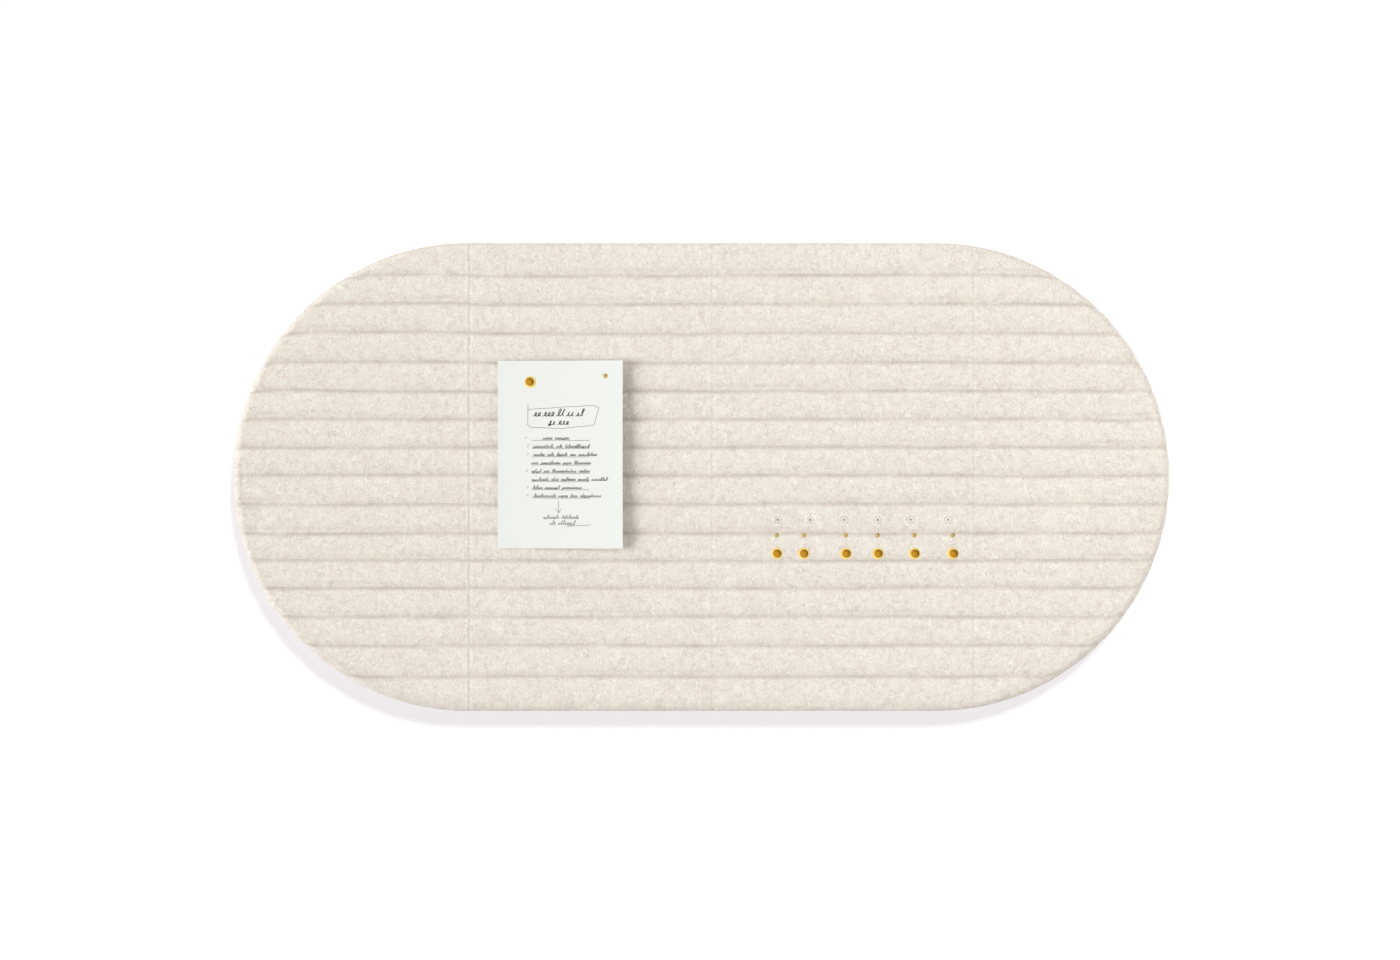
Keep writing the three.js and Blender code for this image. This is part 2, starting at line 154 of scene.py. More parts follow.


# Boiled wool felt, all matte: cream fibres curl over a faintly pink ground. The cream on raised
# curls and tufts is partly the wool's paler fibre and partly a painted highlight. The greyer
# hollow patches are painted shade laid out by noise, and the crease colour is painted shade.
def makeWoolFelt():
    material, tree = newMaterial("boiledWoolFelt")
    found = {}
    for name, (sizes, detail, distortion) in woolFelt["patterns"].items():
        found[name] = addNode(
            tree, "TexNoise",
            {"Scale": 1.0, "Detail": detail, "Roughness": 0.6, "Distortion": distortion},
            {"Vector": patternSpace(tree, sizes)}).outputs["Fac"]
    for name in ("tuft", "crease"):
        found[name] = addNode(tree, "Attribute", {"attribute_name": name}).outputs["Fac"]
    offLine = addNode(tree, "Math", {"operation": "SUBTRACT", 1: 0.5},
                      {0: found["curl"]}).outputs[0]
    found["line"] = addNode(tree, "Math", {"operation": "ABSOLUTE"}, {0: offLine}).outputs[0]
    for name, (start, full, top) in woolFelt["masks"].items():
        found[name] = addNode(tree, "MapRange",
                              {"interpolation_type": "SMOOTHSTEP", "From Min": start,
                               "From Max": full, "To Max": top},
                              {"Value": found[name]}).outputs["Result"]
    raised = addNode(tree, "Math",
                     {"operation": "MULTIPLY_ADD", 1: woolFelt["tuftShare"], "use_clamp": True},
                     {0: found["tuft"], 2: found["line"]}).outputs[0]
    # Painted light in these mixes: hollows and creases painted as shade, raised curls and tufts
    # painted creamer, partly as highlight
    colour = linear(woolFelt["ground"])
    for kind, over, share in (("MIX", linear(woolFelt["hollow"]), found["hollow"]),
                              ("MIX", linear(woolFelt["curl"]), raised),
                              ("SOFT_LIGHT", found["fibre"], woolFelt["fibreShare"]),
                              ("SOFT_LIGHT", found["cloud"], woolFelt["cloudShare"]),
                              ("MIX", linear(woolFelt["crease"]), found["crease"])):
        settings, links = {"data_type": "RGBA", "blend_type": kind}, {}
        for socket, value in ((0, share), (6, colour), (7, over)):
            (links if isinstance(value, bpy.types.NodeSocket) else settings)[socket] = value
        colour = addNode(tree, "Mix", settings, links).outputs[2]
    fineBump = addNode(tree, "Bump", {"Strength": woolFelt["fibreBump"],
                                      "Distance": woolFelt["fibreBumpMm"] * mm},
                       {"Height": found["fibre"]}).outputs["Normal"]
    curlBump = addNode(tree, "Bump", {"Strength": woolFelt["curlBump"],
                                      "Distance": woolFelt["curlBumpMm"] * mm},
                       {"Height": found["line"], "Normal": fineBump}).outputs["Normal"]
    finishMaterial(tree, {"Roughness": 0.95, "Specular IOR Level": 0.15, "Sheen Weight": 0.18,
                          "Sheen Roughness": 0.55, "Sheen Tint": linear("#fff8ee")},
                   {"Base Color": colour, "Normal": curlBump})
    return material


# Medium density fibreboard, sanded: fine pale and dark fibre specks in a tan ground
def makeFibreboard():
    material, tree = newMaterial("sandedFibreboard")
    speck = addNode(tree, "TexNoise", {"Scale": 1.0, "Detail": 5.0, "Roughness": 0.75},
                    {"Vector": patternSpace(tree, (2.6, 0.8, 1.1))}).outputs["Fac"]
    cloud = addNode(tree, "TexNoise", {"Scale": 1.0, "Detail": 2.0},
                    {"Vector": patternSpace(tree, (70, 70, 40))}).outputs["Fac"]
    specked = addNode(tree, "ValToRGB", None, {"Fac": speck})
    ramp = specked.color_ramp.elements
    ramp[0].position, ramp[0].color = 0.34, linear("#86684a")
    ramp[1].position, ramp[1].color = 0.62, linear("#b89a74")
    clouded = addNode(tree, "Mix", {"data_type": "RGBA", "blend_type": "SOFT_LIGHT", 0: 0.35},
                      {6: specked.outputs["Color"], 7: cloud}).outputs[2]
    bump = addNode(tree, "Bump", {"Strength": 0.25, "Distance": 0.1 * mm},
                   {"Height": speck}).outputs["Normal"]
    finishMaterial(tree, {"Roughness": 0.82, "Specular IOR Level": 0.3},
                   {"Base Color": clouded, "Normal": bump})
    return material


# Gold plate with fine handling marks. Near the felt it is painted pale, a painted highlight for the
# ring of light round a head's foot, and deeper in front: amber on a spool's drum, champagne on a
# ball
def makeGold(name, foot, drumDark, drumLight, fromMm, toMm):
    material, tree = newMaterial(name)
    mark = addNode(tree, "TexNoise", {"Scale": 1.0, "Detail": 4.0, "Roughness": 0.7},
                   {"Vector": patternSpace(tree, (1.2, 1.2, 1.2))}).outputs["Fac"]
    place = addNode(tree, "TexCoord").outputs["Object"]
    forward = addNode(tree, "SeparateXYZ", None, {"Vector": place}).outputs["Y"]
    deep = addNode(tree, "MapRange", {"interpolation_type": "SMOOTHSTEP",
                                      "From Min": -fromMm * mm, "From Max": -toMm * mm},
                   {"Value": forward}).outputs["Result"]
    amber = addNode(tree, "Mix", {"data_type": "RGBA", 6: linear(drumDark), 7: linear(drumLight)},
                    {0: mark}).outputs[2]
    # Painted highlight: the foot, nearest the felt, takes the pale colour
    colour = addNode(tree, "Mix", {"data_type": "RGBA", 6: linear(foot)},
                     {0: deep, 7: amber}).outputs[2]
    rough = addNode(tree, "MapRange", {"To Min": 0.12, "To Max": 0.24},
                    {"Value": mark}).outputs["Result"]
    finishMaterial(tree, {"Metallic": 1.0}, {"Base Color": colour, "Roughness": rough})
    return material


acrylic = {"flowMm": 2.4, "roughFrom": 0.02, "roughTo": 0.08, "rimFromMm": 3.7, "rimToMm": 4.7,
           "rimHighlightShare": 0.85, "rimHighlight": "#fffdf4", "clear": "#fffffd", "clearShare": 0.5}


# Moulded acrylic: clear with a soft flow ripple, and a dull white ring at the rim of the foot, a
# painted highlight for the light that the clear rim catches. It lets the lamps through, so the felt
# under a head stays as pale as beside it.
def makeAcrylic():
    material, tree = newMaterial("mouldedAcrylic")
    flow = addNode(tree, "TexNoise", {"Scale": 1.0, "Detail": 1.0},
                   {"Vector": patternSpace(tree, [acrylic["flowMm"]] * 3)}).outputs["Fac"]
    rough = addNode(tree, "MapRange",
                    {"To Min": acrylic["roughFrom"], "To Max": acrylic["roughTo"]},
                    {"Value": flow}).outputs["Result"]
    resin = addNode(tree, "BsdfPrincipled",
                    {"Base Color": linear("#ffffff"), "IOR": 1.49, "Transmission Weight": 1.0},
                    {"Roughness": rough}).outputs["BSDF"]
    place = addNode(tree, "TexCoord").outputs["Object"]
    across = addNode(tree, "VectorMath", {"operation": "MULTIPLY", 1: (1, 0, 1)},
                     {0: place}).outputs[0]
    fromAxis = addNode(tree, "VectorMath", {"operation": "LENGTH"}, {0: across}).outputs["Value"]
    rim = addNode(tree, "MapRange",
                  {"interpolation_type": "SMOOTHSTEP", "From Min": acrylic["rimFromMm"] * mm,
                   "From Max": acrylic["rimToMm"] * mm, "To Max": acrylic["rimHighlightShare"]},
                  {"Value": fromAxis}).outputs["Result"]
    # Painted highlight: dull white at the rim of the foot
    rimHighlight = addNode(tree, "BsdfDiffuse", {"Color": linear(acrylic["rimHighlight"])}).outputs[0]
    resin = addNode(tree, "MixShader", None, {0: rim, 1: resin, 2: rimHighlight}).outputs[0]
    clear = addNode(tree, "BsdfTransparent", {"Color": linear(acrylic["clear"])}).outputs[0]
    path = addNode(tree, "LightPath").outputs
    passing = addNode(tree, "Math", {"operation": "MAXIMUM"},
                      {0: path["Is Shadow Ray"], 1: path["Is Diffuse Ray"]}).outputs[0]
    passing = addNode(tree, "Math", {"operation": "MAXIMUM", 1: acrylic["clearShare"]},
                      {0: passing}).outputs[0]
    both = addNode(tree, "MixShader", None, {0: passing, 1: resin, 2: clear}).outputs[0]
    addNode(tree, "OutputMaterial", None, {"Surface": both})
    return material


# One pattern blends two colours. It may raise the surface too, or vary its roughness.
def makeGrained(name, texture, sizes, colours, surface, bump=None, roughSpan=None):
    material, tree = newMaterial(name)
    kind, settings = texture
    grain = addNode(tree, kind, {"Scale": 1.0, **settings},
                    {"Vector": patternSpace(tree, sizes)}).outputs[0]
    dark, light = (linear(colour) for colour in colours)
    links = {"Base Color": addNode(tree, "Mix", {"data_type": "RGBA", 6: dark, 7: light},
                                   {0: grain}).outputs[2]}
    if bump:
        strength, heightMm = bump
        links["Normal"] = addNode(tree, "Bump", {"Strength": strength, "Distance": heightMm * mm},
                                  {"Height": grain}).outputs["Normal"]
    if roughSpan:
        smooth, rough = roughSpan
        links["Roughness"] = addNode(tree, "MapRange", {"To Min": smooth, "To Max": rough},
                                     {"Value": grain}).outputs["Result"]
    finishMaterial(tree, surface, links)
    return material


materials = {
    "felt": makeWoolFelt(),
    "fibreboard": makeFibreboard(),
    "gold": makeGold("polishedGoldPlate", "#ffe694", "#bd8720", "#cf9a30", 4.8, 7.0),
    "ball_gold": makeGold("paleGoldPlate", "#fff0c4", "#cbb57a", "#e2cc94", 2.5, 4.1),
    "clear_plastic": makeAcrylic(),
    # Open-cell foam: cut faces full of pores, dull and warm white
    "foam": makeGrained("openCellFoam", ("TexVoronoi", {}), (1.1, 1.1, 1.1),
                        ("#c3bca6", "#e4dfce"),
                        {"Roughness": 0.9, "Specular IOR Level": 0.2}, (0.6, 0.5)),
    # Moulded rubber: near black, dull, with a faint bloom
    "bumper_rubber": makeGrained("mouldedRubber", ("TexNoise", {"Detail": 3.0}), (2.5, 2.5, 2.5),
                                 ("#232325", "#3a3a3c"),
                                 {"Roughness": 0.7, "Specular IOR Level": 0.35}, (0.15, 0.05)),
    # Uncoated card: cool white, with the faint cloudiness of pressed pulp
    "card": makeGrained("uncoatedCard", ("TexNoise", {"Detail": 4.0, "Roughness": 0.6}),
                        (1.6, 1.6, 1.6), ("#eef0ec", "#f4f6f2"),
                        {"Roughness": 0.75, "Specular IOR Level": 0.3}, (0.06, 0.05)),
    # Gel pen ink: charcoal, a little uneven where the pen slowed
    "ink": makeGrained("gelPenInk", ("TexNoise", {"Detail": 2.0}), (2.0, 2.0, 2.0),
                       ("#0f1011", "#2a2c2e"), {"Roughness": 0.55}),
}
# Zinc-plated steel: blue-grey and bright, with the streaks of its rolling, turning or drawing
zincFinishes = {
    "zinc_plate": ("rolledZincPlate", "#8e9298", "#b6bac0", (0.6, 0.6, 9.0), 0.34),
    "screw_steel": ("turnedZincScrew", "#bfc2c6", "#dcdde0", (0.5, 0.5, 0.5), 0.28),
    "needle_steel": ("drawnNeedleSteel", "#9fa1a4", "#c2c4c6", (0.3, 4.0, 0.3), 0.2),
    # Darker steel for the clear pins' needles: painted shade, for the root that sits in shadow
    # inside its clear head
    "shaded_crimped_steel": ("shadedCrimpedNeedleSteel", "#70716b", "#8e8f88", (0.4, 0.4, 0.4), 0.35),
    "staple_wire": ("galvanisedStapleWire", "#a4a8ac", "#c6c9cc", (0.6, 0.6, 0.6), 0.38),
}
for slot, (name, dark, light, streakMm, roughness) in zincFinishes.items():
    materials[slot] = makeGrained(
        name, ("TexNoise", {"Detail": 3.0, "Roughness": 0.6}), streakMm, (dark, light),
        {"Metallic": 1.0}, roughSpan=(roughness - 0.08, roughness + 0.1))
print("materials made:", len(materials))


# Pieces
def inScene(name, data):
    made = bpy.data.objects.new(name, data)
    bpy.context.scene.collection.objects.link(made)
    return made


def addPiece(name, mesh, slot, body, replaced=(), material=None):
    piece = inScene(name, mesh)
    if not mesh.materials:
        mesh.materials.append(materials[material or slot])
    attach(piece, body)
    if replaced:
        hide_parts(*replaced)
    return piece


def placeAt(piece, x, depth, z, body):
    piece.location = (x, -depth, z)
    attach(piece, body)
    return piece


def smoothed(mesh, sharpDegrees):
    mesh.shade_smooth()
    mesh.set_sharp_from_angle(angle=math.radians(sharpDegrees))
    return mesh


def meshFrom(name, points, faces, sharpDegrees=40):
    mesh = bpy.data.meshes.new(name)
    mesh.from_pydata([tuple(point) for point in points], [], faces)
    mesh.validate()
    smoothed(mesh, sharpDegrees)
    mesh.update()
    return mesh


# Turns all faces outward, after joining points that lie closer than the given distance
def facedOutward(mesh, joinMm=0):
    solid = bmesh.new()
    solid.from_mesh(mesh)
    if joinMm:
        bmesh.ops.remove_doubles(solid, verts=solid.verts, dist=joinMm * mm)
    bmesh.ops.recalc_face_normals(solid, faces=solid.faces)
    solid.to_mesh(mesh)
    solid.free()
    return mesh


# The mesh that a drawn object gives once its curve or modifiers are worked out
def meshOf(drawn, name):
    bpy.context.view_layer.update()
    mesh = bpy.data.meshes.new_from_object(
        drawn.evaluated_get(bpy.context.evaluated_depsgraph_get()))
    bpy.data.objects.remove(drawn)
    mesh.name = name
    return mesh


# Faces between closed rings of points, each ring joined to the next. Points that a ring shares
# with its neighbour or repeats are taken once.
def sleeve(rings, capped=True):
    faces = []
    for near, far in zip(rings, rings[1:]):
        for a in range(len(near)):
            b = (a + 1) % len(near)
            face = list(dict.fromkeys([near[a], far[a], far[b], near[b]]))
            if len(face) > 2:
                faces.append(face)
    return faces + [rings[0], rings[-1][::-1]] if capped else faces


# Felt cover: one sheet of felt for each panel, laid over the face and wrapped round the rim.
# It starts flat, as it was cut. What lies outside the face's straight part is wrapped by w,
# its distance past the line where the rim begins to roll.
cover = {
    "columnMm": 1.15, "rimRadiusMm": 6.0, "foldRadiusMm": 2.0, "returnInsetMm": 21.0,
    "thicknessMm": 3.0, "pitchMm": 23.3, "shiftMm": 1.0, "riseMm": 3.0,
    "upperPower": 4.4, "lowerPower": 3.2,
    "creaseNudgesMm": [0.1, 1.9, 2.1, 2.3, 1.3, 0.2, 0.4, 0.6,
                       0, -0.6, -0.8, -1.0, -0.9, -0.3, -0.1],
    "rollSteps": 8, "clearMm": 0.3, "touchMm": 0.001, "sharpDegrees": 55,
    "wanderMm": 0.9, "wanderFadeMm": 18.0, "slowShare": 1.6, "quickShare": 0.5, "ownShare": 0.8,
    "grooveFadeMm": 13.0, "grooveSpan": (0.85, 1.15),
    "woolBendMm": 5.0, "ridgeShare": 0.6, "curlReliefMm": 0.4, "curlMiddle": 0.72,
    "lumpMm": 0.45, "pinHollowMm": 6.0, "pinSmooth": 0.8,
    "secondFoldMm": 4.2, "secondFoldDepthMm": 0.45, "secondFoldWidthMm": 0.9,
    "foldSteep": 3.0, "foldFrom": 1.6,
    "gatherMm": 0.5, "gatherWaveMm": 5.5, "gatherEaseMm": 6.0, "gatherCapMm": 20.0,
    # Painted shade on each seam line, and cream beside it painted as highlight
    "seamDipsMm": [0.25, 0.12, 0.1], "seamShades": [0.3, 0.16, 0.14], "seamWidthMm": 0.7,
    "seamCloseMm": 0.13, "seamHighlightMm": 2.0, "seamHighlightShare": 1.5, "seamEaseMm": 7.0,
    "panelStepsMm": [1.4, 0, 0.3, 0], "stepFromMm": 60.0, "stepToMm": 120.0,
    # Painted shade: the crease, fold and roll shades darken the wool along each crease, second fold
    # and the lower roll
    "upperShade": 0.42, "lowerShade": 0.5, "upperShadeMm": 0.9, "lowerShadeMm": 1.7,
    "shadeDropMm": 0.3, "shadeSpan": (0.55, 1.35), "foldShade": 0.2,
    "rollShade": 0.22, "rollFromMm": -8.0, "rollWidthMm": 12.0, "rollFadeMm": 8.0,
    "rollShadeSpan": (0.3, 1.7),
}
rowShares = [0, 0.035, 0.075, 0.12, 0.175, 0.24, 0.32, 0.41, 0.51, 0.62, 0.74, 0.87]
seamColumnsMm = [0, 0.35, 0.75, 1.3, 2.0]  # columns stand closer beside a seam
# Cell width and height in millimetres, and seed, of each unevenness in the felt
unevenness = {
    "bendX": (5, 5, 11), "bendZ": (5, 5, 12), "ridge": (3.0, 5.2, 13), "pile": (1.7, 2.6, 14),
    "groove": (40, 12, 21), "fold": (70, 11, 31), "lump": (38, 17, 51), "crease": (26, 16, 61),
    "rollShadeNoise": (3.5, 3.0, 71), "slow": (85, 1000, 0), "quick": (22, 1000, 7),
    "own": (60, 1000, 1000),
}


def uneven(kind, x, z, laterSeed=0):
    cellX, cellZ, seed = unevenness[kind]
    return latticeNoise(x, z, cellX * mm, cellZ * mm, seed + laterSeed)


def within(span, share):
    return span[0] + (span[1] - span[0]) * share


def creaseHeights():
    pitch, nudges = cover["pitchMm"], cover["creaseNudgesMm"]
    first = cover["shiftMm"] - (len(nudges) - 1) * pitch / 2
    return [(first + index * pitch + nudge) * mm for index, nudge in enumerate(nudges)]


# The wrap's section: how far it goes out, its depth and its turn, for each w
def wrapSection():
    rim, fold = cover["rimRadiusMm"] * mm, cover["foldRadiusMm"] * mm
    turn = np.linspace(0, quarterTurn, cover["rollSteps"] + 1)
    wall = crownDepth - rim - fold - returnDepth
    flap = cover["returnInsetMm"] * mm - fold
    along = np.concatenate([
        rim * turn, rim * quarterTurn + wall + fold * turn,
        [rim * quarterTurn + wall + fold * quarterTurn + flap]])
    out = np.concatenate([
        rim * np.sin(turn), rim - fold * (1 - np.cos(turn)), [rim - fold - flap]])
    depth = np.concatenate([
        crownDepth - rim * (1 - np.cos(turn)),
        returnDepth + fold * (1 - np.sin(turn)), [returnDepth]])
    angle = np.concatenate([turn, quarterTurn + turn, [2 * quarterTurn]])
    return along, out, depth, angle


# Heights of the sheet's rows, with how full the channel is at each, its nearest crease, and
# whether it lies above that crease
def sheetRows(reach):
    creases = creaseHeights()
    edge = cover["pitchMm"] / 2 * mm
    rows = []
    for index in range(len(creases) + 1):
        low = creases[index - 1] if index else None
        high = creases[index] if index < len(creases) else None
        inside = low is not None and high is not None
        half = (high - low) / 2 if inside else edge
        if low is not None:
            rows += [(low + share * half, share, index - 1, True) for share in rowShares]
        if inside:
            rows.append(((low + high) / 2, 1.0, index, False))
        if high is not None:
            rows += [(high - share * half, share, index, False) for share in rowShares[:0:-1]]
    for sign, crease, index in ((-1, creases[0], 0), (1, creases[-1], len(creases) - 1)):
        start = crease + sign * edge
        count = int(round((reach - abs(start)) / (cover["columnMm"] * mm)))
        rows += [(start + sign * step / count * (reach - abs(start)), 1.0, index, sign > 0)
                 for step in range(count + 1)]
    rows.sort()
    return rows


def sheetColumns(low, high, leftSeam, rightSeam):
    start = [low + step * mm for step in seamColumnsMm] if leftSeam else [low]
    end = [high - step * mm for step in reversed(seamColumnsMm)] if rightSeam else [high]
    count = int(round((end[0] - start[-1]) / (cover["columnMm"] * mm)))
    middle = np.linspace(start[-1], end[0], count + 1)[1:-1]
    return np.array(start + list(middle) + end)


# How far each crease strays from its line. Panels differ a little, and near a seam both sides
# ease to the same height, so that the sewn lines meet.
def creaseWander(x, panel):
    heights = np.array(creaseHeights())
    wander = np.zeros((len(heights), len(x)))
    for index, height in enumerate(heights):
        slow, quick, own = (
            (uneven(kind, x, 0 * x, 40 * index + seed) - 0.5) * cover[kind + "Share"]
            for kind, seed in (("slow", 0), ("quick", 0), ("own", 1000 * panel)))
        high = smoothStep((height / mm - cover["stepFromMm"])
                          / (cover["stepToMm"] - cover["stepFromMm"]))
        steps = [step * high for step in cover["panelStepsMm"]]
        offset = np.full(len(x), steps[panel]) + own * cover["wanderMm"]
        for seam in (panel - 1, panel):
            if 0 <= seam < len(seamPlaces):
                near = np.exp(-np.abs(x - seamPlaces[seam]) / (cover["seamEaseMm"] * mm))
                offset = offset * (1 - near) + (steps[seam] + steps[seam + 1]) / 2 * near
        wander[index] = (offset + (slow + quick) * cover["wanderMm"]) * mm
    return wander


# Relief of the milled wool: curled ridges, lower between them
def woolRelief(x, z):
    bentX = x + (uneven("bendX", x, z) - 0.5) * cover["woolBendMm"] * mm
    bentZ = z + (uneven("bendZ", x, z) - 0.5) * cover["woolBendMm"] * mm
    ridge = 1 - np.abs(2 * uneven("ridge", bentX, bentZ) - 1)
    return within((uneven("pile", bentX, bentZ), ridge), cover["ridgeShare"])


# The open sheet's rim, walked in order
def rimLoop(quads, size):
    starts = quads.ravel()
    ends = np.roll(quads, -1, axis=1).ravel()
    single = ~np.isin(starts * size + ends, ends * size + starts)
    following = dict(zip(starts[single].tolist(), ends[single].tolist()))
    loop = [starts[single][0].item()]
    while following[loop[-1]] != loop[0]:
        loop.append(following[loop[-1]])
    return loop


def buildPanel(index, node, pieceName):
    low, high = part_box(node)
    along, out, depth, angle = wrapSection()
    innerRadius = halfHeight - cover["rimRadiusMm"] * mm
    reach = innerRadius + along[-1]
    leftSeam, rightSeam = index > 0, index < 3
    close = cover["seamCloseMm"] * mm
    x = sheetColumns(low.x - close if leftSeam else -armReach - reach,
                     high.x + close if rightSeam else armReach + reach, leftSeam, rightSeam)
    rowZ, fromCrease, crease, above = (np.array(column) for column in zip(*sheetRows(reach)))
    power = np.where(above, cover["lowerPower"], cover["upperPower"])
    fullness = 1 - (1 - fromCrease) ** power

    gridX, gridZ = np.meshgrid(x, rowZ)
    axisX = np.clip(gridX, -armReach, armReach)
    radius = np.hypot(gridX - axisX, gridZ)
    w = radius - innerRadius
    keep = w < along[-1] - 0.05 * mm
    w = np.where(keep, w, along[-1])
    towards = np.where(radius > 0, radius, 1)
    outX, outZ = (gridX - axisX) / towards, gridZ / towards

    # Creases stray on the face and settle on their own lines at the rim
    wander = creaseWander(x, index)
    creases = np.array(creaseHeights())
    upper = np.clip(np.searchsorted(creases, rowZ), 1, len(creases) - 1)
    share = np.clip((rowZ - creases[upper - 1]) / (creases[upper] - creases[upper - 1]), 0, 1)
    stray = wander[upper - 1] * (1 - share[:, None]) + wander[upper] * share[:, None]
    stray = stray * smoothStep(-w / (cover["wanderFadeMm"] * mm))

    # Displacement off the smooth wrapped sheet, positive away from the core
    grooveFade = 1 - smoothStep(w / (cover["grooveFadeMm"] * mm))
    grooveDepth = within(cover["grooveSpan"], uneven("groove", gridX, gridZ))
    groove = cover["riseMm"] * mm * (1 - fullness[:, None]) * grooveDepth * grooveFade
    distance = np.abs(rowZ - creases[crease]) - cover["secondFoldMm"] * mm
    foldShape = np.exp(-(distance / (cover["secondFoldWidthMm"] * mm)) ** 2) * above
    foldMask = smoothStep(cover["foldSteep"] * uneven("fold", gridX, gridZ, index)
                          - cover["foldFrom"])
    secondFold = cover["secondFoldDepthMm"] * mm * foldShape[:, None] * foldMask * grooveFade
    tuft = woolRelief(gridX, gridZ)
    nearPin = np.zeros_like(gridX)
    for place in (middleOf(name) for name in frame["nodes"] if name.endswith("_head")):
        squared = (gridX - place.x) ** 2 + (gridZ - place.z) ** 2
        nearPin = np.maximum(nearPin, np.exp(-squared / (cover["pinHollowMm"] * mm) ** 2))
    relief = cover["curlReliefMm"] * mm * (tuft - cover["curlMiddle"])
    relief = relief * (1 - cover["pinSmooth"] * nearPin)
    lump = cover["lumpMm"] * mm * (uneven("lump", gridX, gridZ) - 1) * (w < 0)
    # Seams: a slight dip in the mesh, painted shade on the seam line, and a painted highlight of
    # cream along both sides of it
    seamDip, seamShade, seamHighlight = 0 * gridX, 0 * gridX, 0 * gridX
    seams = zip(cover["seamDipsMm"], cover["seamShades"], seamPlaces)
    for seam, (dip, tint, seamX) in enumerate(seams):
        if seam in (index - 1, index):
            gap = np.abs(gridX - seamX) / (cover["seamWidthMm"] * mm)
            seamDip = seamDip + dip * mm * np.exp(-gap ** 2) * fullness[:, None]
            seamShade = seamShade + tint * np.exp(-gap ** 2)
            seamHighlightGap = gap - cover["seamHighlightMm"] / cover["seamWidthMm"]
            seamHighlight = seamHighlight + cover["seamHighlightShare"] * tint * np.exp(-seamHighlightGap ** 2)
    turnedIn = smoothStep((w - along[-2]) / (cover["gatherEaseMm"] * mm))
    roundRim = np.arctan2(gridX - axisX, gridZ) * halfHeight
    gatherWave = np.sin(roundRim / (cover["gatherWaveMm"] * mm))
    inCap = smoothStep(np.abs(gridX - axisX) / (cover["gatherCapMm"] * mm))
    gather = cover["gatherMm"] * mm * turnedIn * inCap * (gatherWave * 0.5 + 0.5)
    raised = relief + lump + gather - groove - secondFold - seamDip

    wrapOut, wrapDepth = np.interp(w, along, out), np.interp(w, along, depth)
    wrapTurn = np.interp(w, along, angle)
    onFace = w <= 0
    baseX = np.where(onFace, gridX, axisX + outX * (innerRadius + wrapOut))
    baseZ = np.where(onFace, gridZ + stray, outZ * (innerRadius + wrapOut))
    px = baseX + raised * outX * np.sin(wrapTurn)
    pz = baseZ + raised * outZ * np.sin(wrapTurn)
    pd = wrapDepth + raised * np.cos(wrapTurn)
    points = np.stack([px.ravel(), -pd.ravel(), pz.ravel()], axis=1)

    count = len(x)
    corner = np.arange(len(rowZ) - 1)[:, None] * count + np.arange(count - 1)[None, :]
    quads = np.stack([corner, corner + 1, corner + count + 1, corner + count], axis=-1)
    quads = quads[keep.ravel()[quads].any(axis=-1)]
    used, packed = np.unique(quads, return_inverse=True)
    quads, size = packed.reshape(-1, 4), len(used)
    loop = rimLoop(quads, size)

    # Closing rings: the felt's cut edge, the inside of the turned-in flap, the core's wall
    flat = {"x": gridX.ravel()[used], "z": gridZ.ravel()[used], "w": w.ravel()[used],
            "axis": axisX.ravel()[used], "nx": outX.ravel()[used], "nz": outZ.ravel()[used]}
    coreRadius = halfHeight - cover["thicknessMm"] * mm
    mouthRadius = halfHeight - cover["returnInsetMm"] * mm
    clear, touch = cover["clearMm"] * mm, cover["touchMm"] * mm
    flapDepth, ceiling = backDepth - clear, quiltDepth + clear
    sheetEnd = along[-1] - 10 * touch
    extra, shared = [], {}

    def ringPoint(axis, nx, nz, ringRadius, ringDepth):
        place = (axis + nx * ringRadius, -ringDepth, nz * ringRadius)
        key = tuple(round(value / touch) for value in place)
        if key not in shared:
            shared[key] = size + len(extra)
            extra.append(place)
        return shared[key]

    def ringsAt(vertex):
        if flat["w"][vertex] < sheetEnd:
            # A point of a seam: it closes straight back over the core, and past it onto a corner
            height, past = flat["z"][vertex], flat["w"][vertex]
            seamX = x[0] if abs(flat["x"][vertex] - x[0]) < touch else x[-1]
            mouth, flap, top = corners[seamX, height > 0]
            if past > along[-2]:
                return [mouth, flap, top]
            if past > along[cover["rollSteps"]]:
                return [flap, flap, top]
            if abs(height) < abs(extra[top - size][2]) - clear:
                return [ringPoint(seamX, 0, height, 1, ceiling)] * 3
            return [top] * 3
        axis, nx, nz = (flat[name][vertex] for name in ("axis", "nx", "nz"))
        return [ringPoint(axis, nx, nz, ringRadius, ringDepth) for ringRadius, ringDepth in
                ((mouthRadius, flapDepth), (coreRadius, flapDepth), (coreRadius, ceiling))]

    corners = {}
    for seamX in [x[0]] * leftSeam + [x[-1]] * rightSeam:
        for isUpper in (False, True):
            tips = [v for v in loop if abs(flat["x"][v] - seamX) < touch
                    and flat["w"][v] >= sheetEnd and (flat["z"][v] > 0) == isUpper]
            corners[seamX, isUpper] = ringsAt(min(tips, key=lambda v: abs(flat["z"][v])))

    rings = [loop] + [list(ring) for ring in zip(*[ringsAt(vertex) for vertex in loop])]
    faces = quads.tolist() + sleeve(rings, capped=False)
    faces.append(list(dict.fromkeys(rings[-1]))[::-1])
    mesh = meshFrom(pieceName, np.concatenate([points[used], np.array(extra)]), faces,
                    cover["sharpDegrees"])

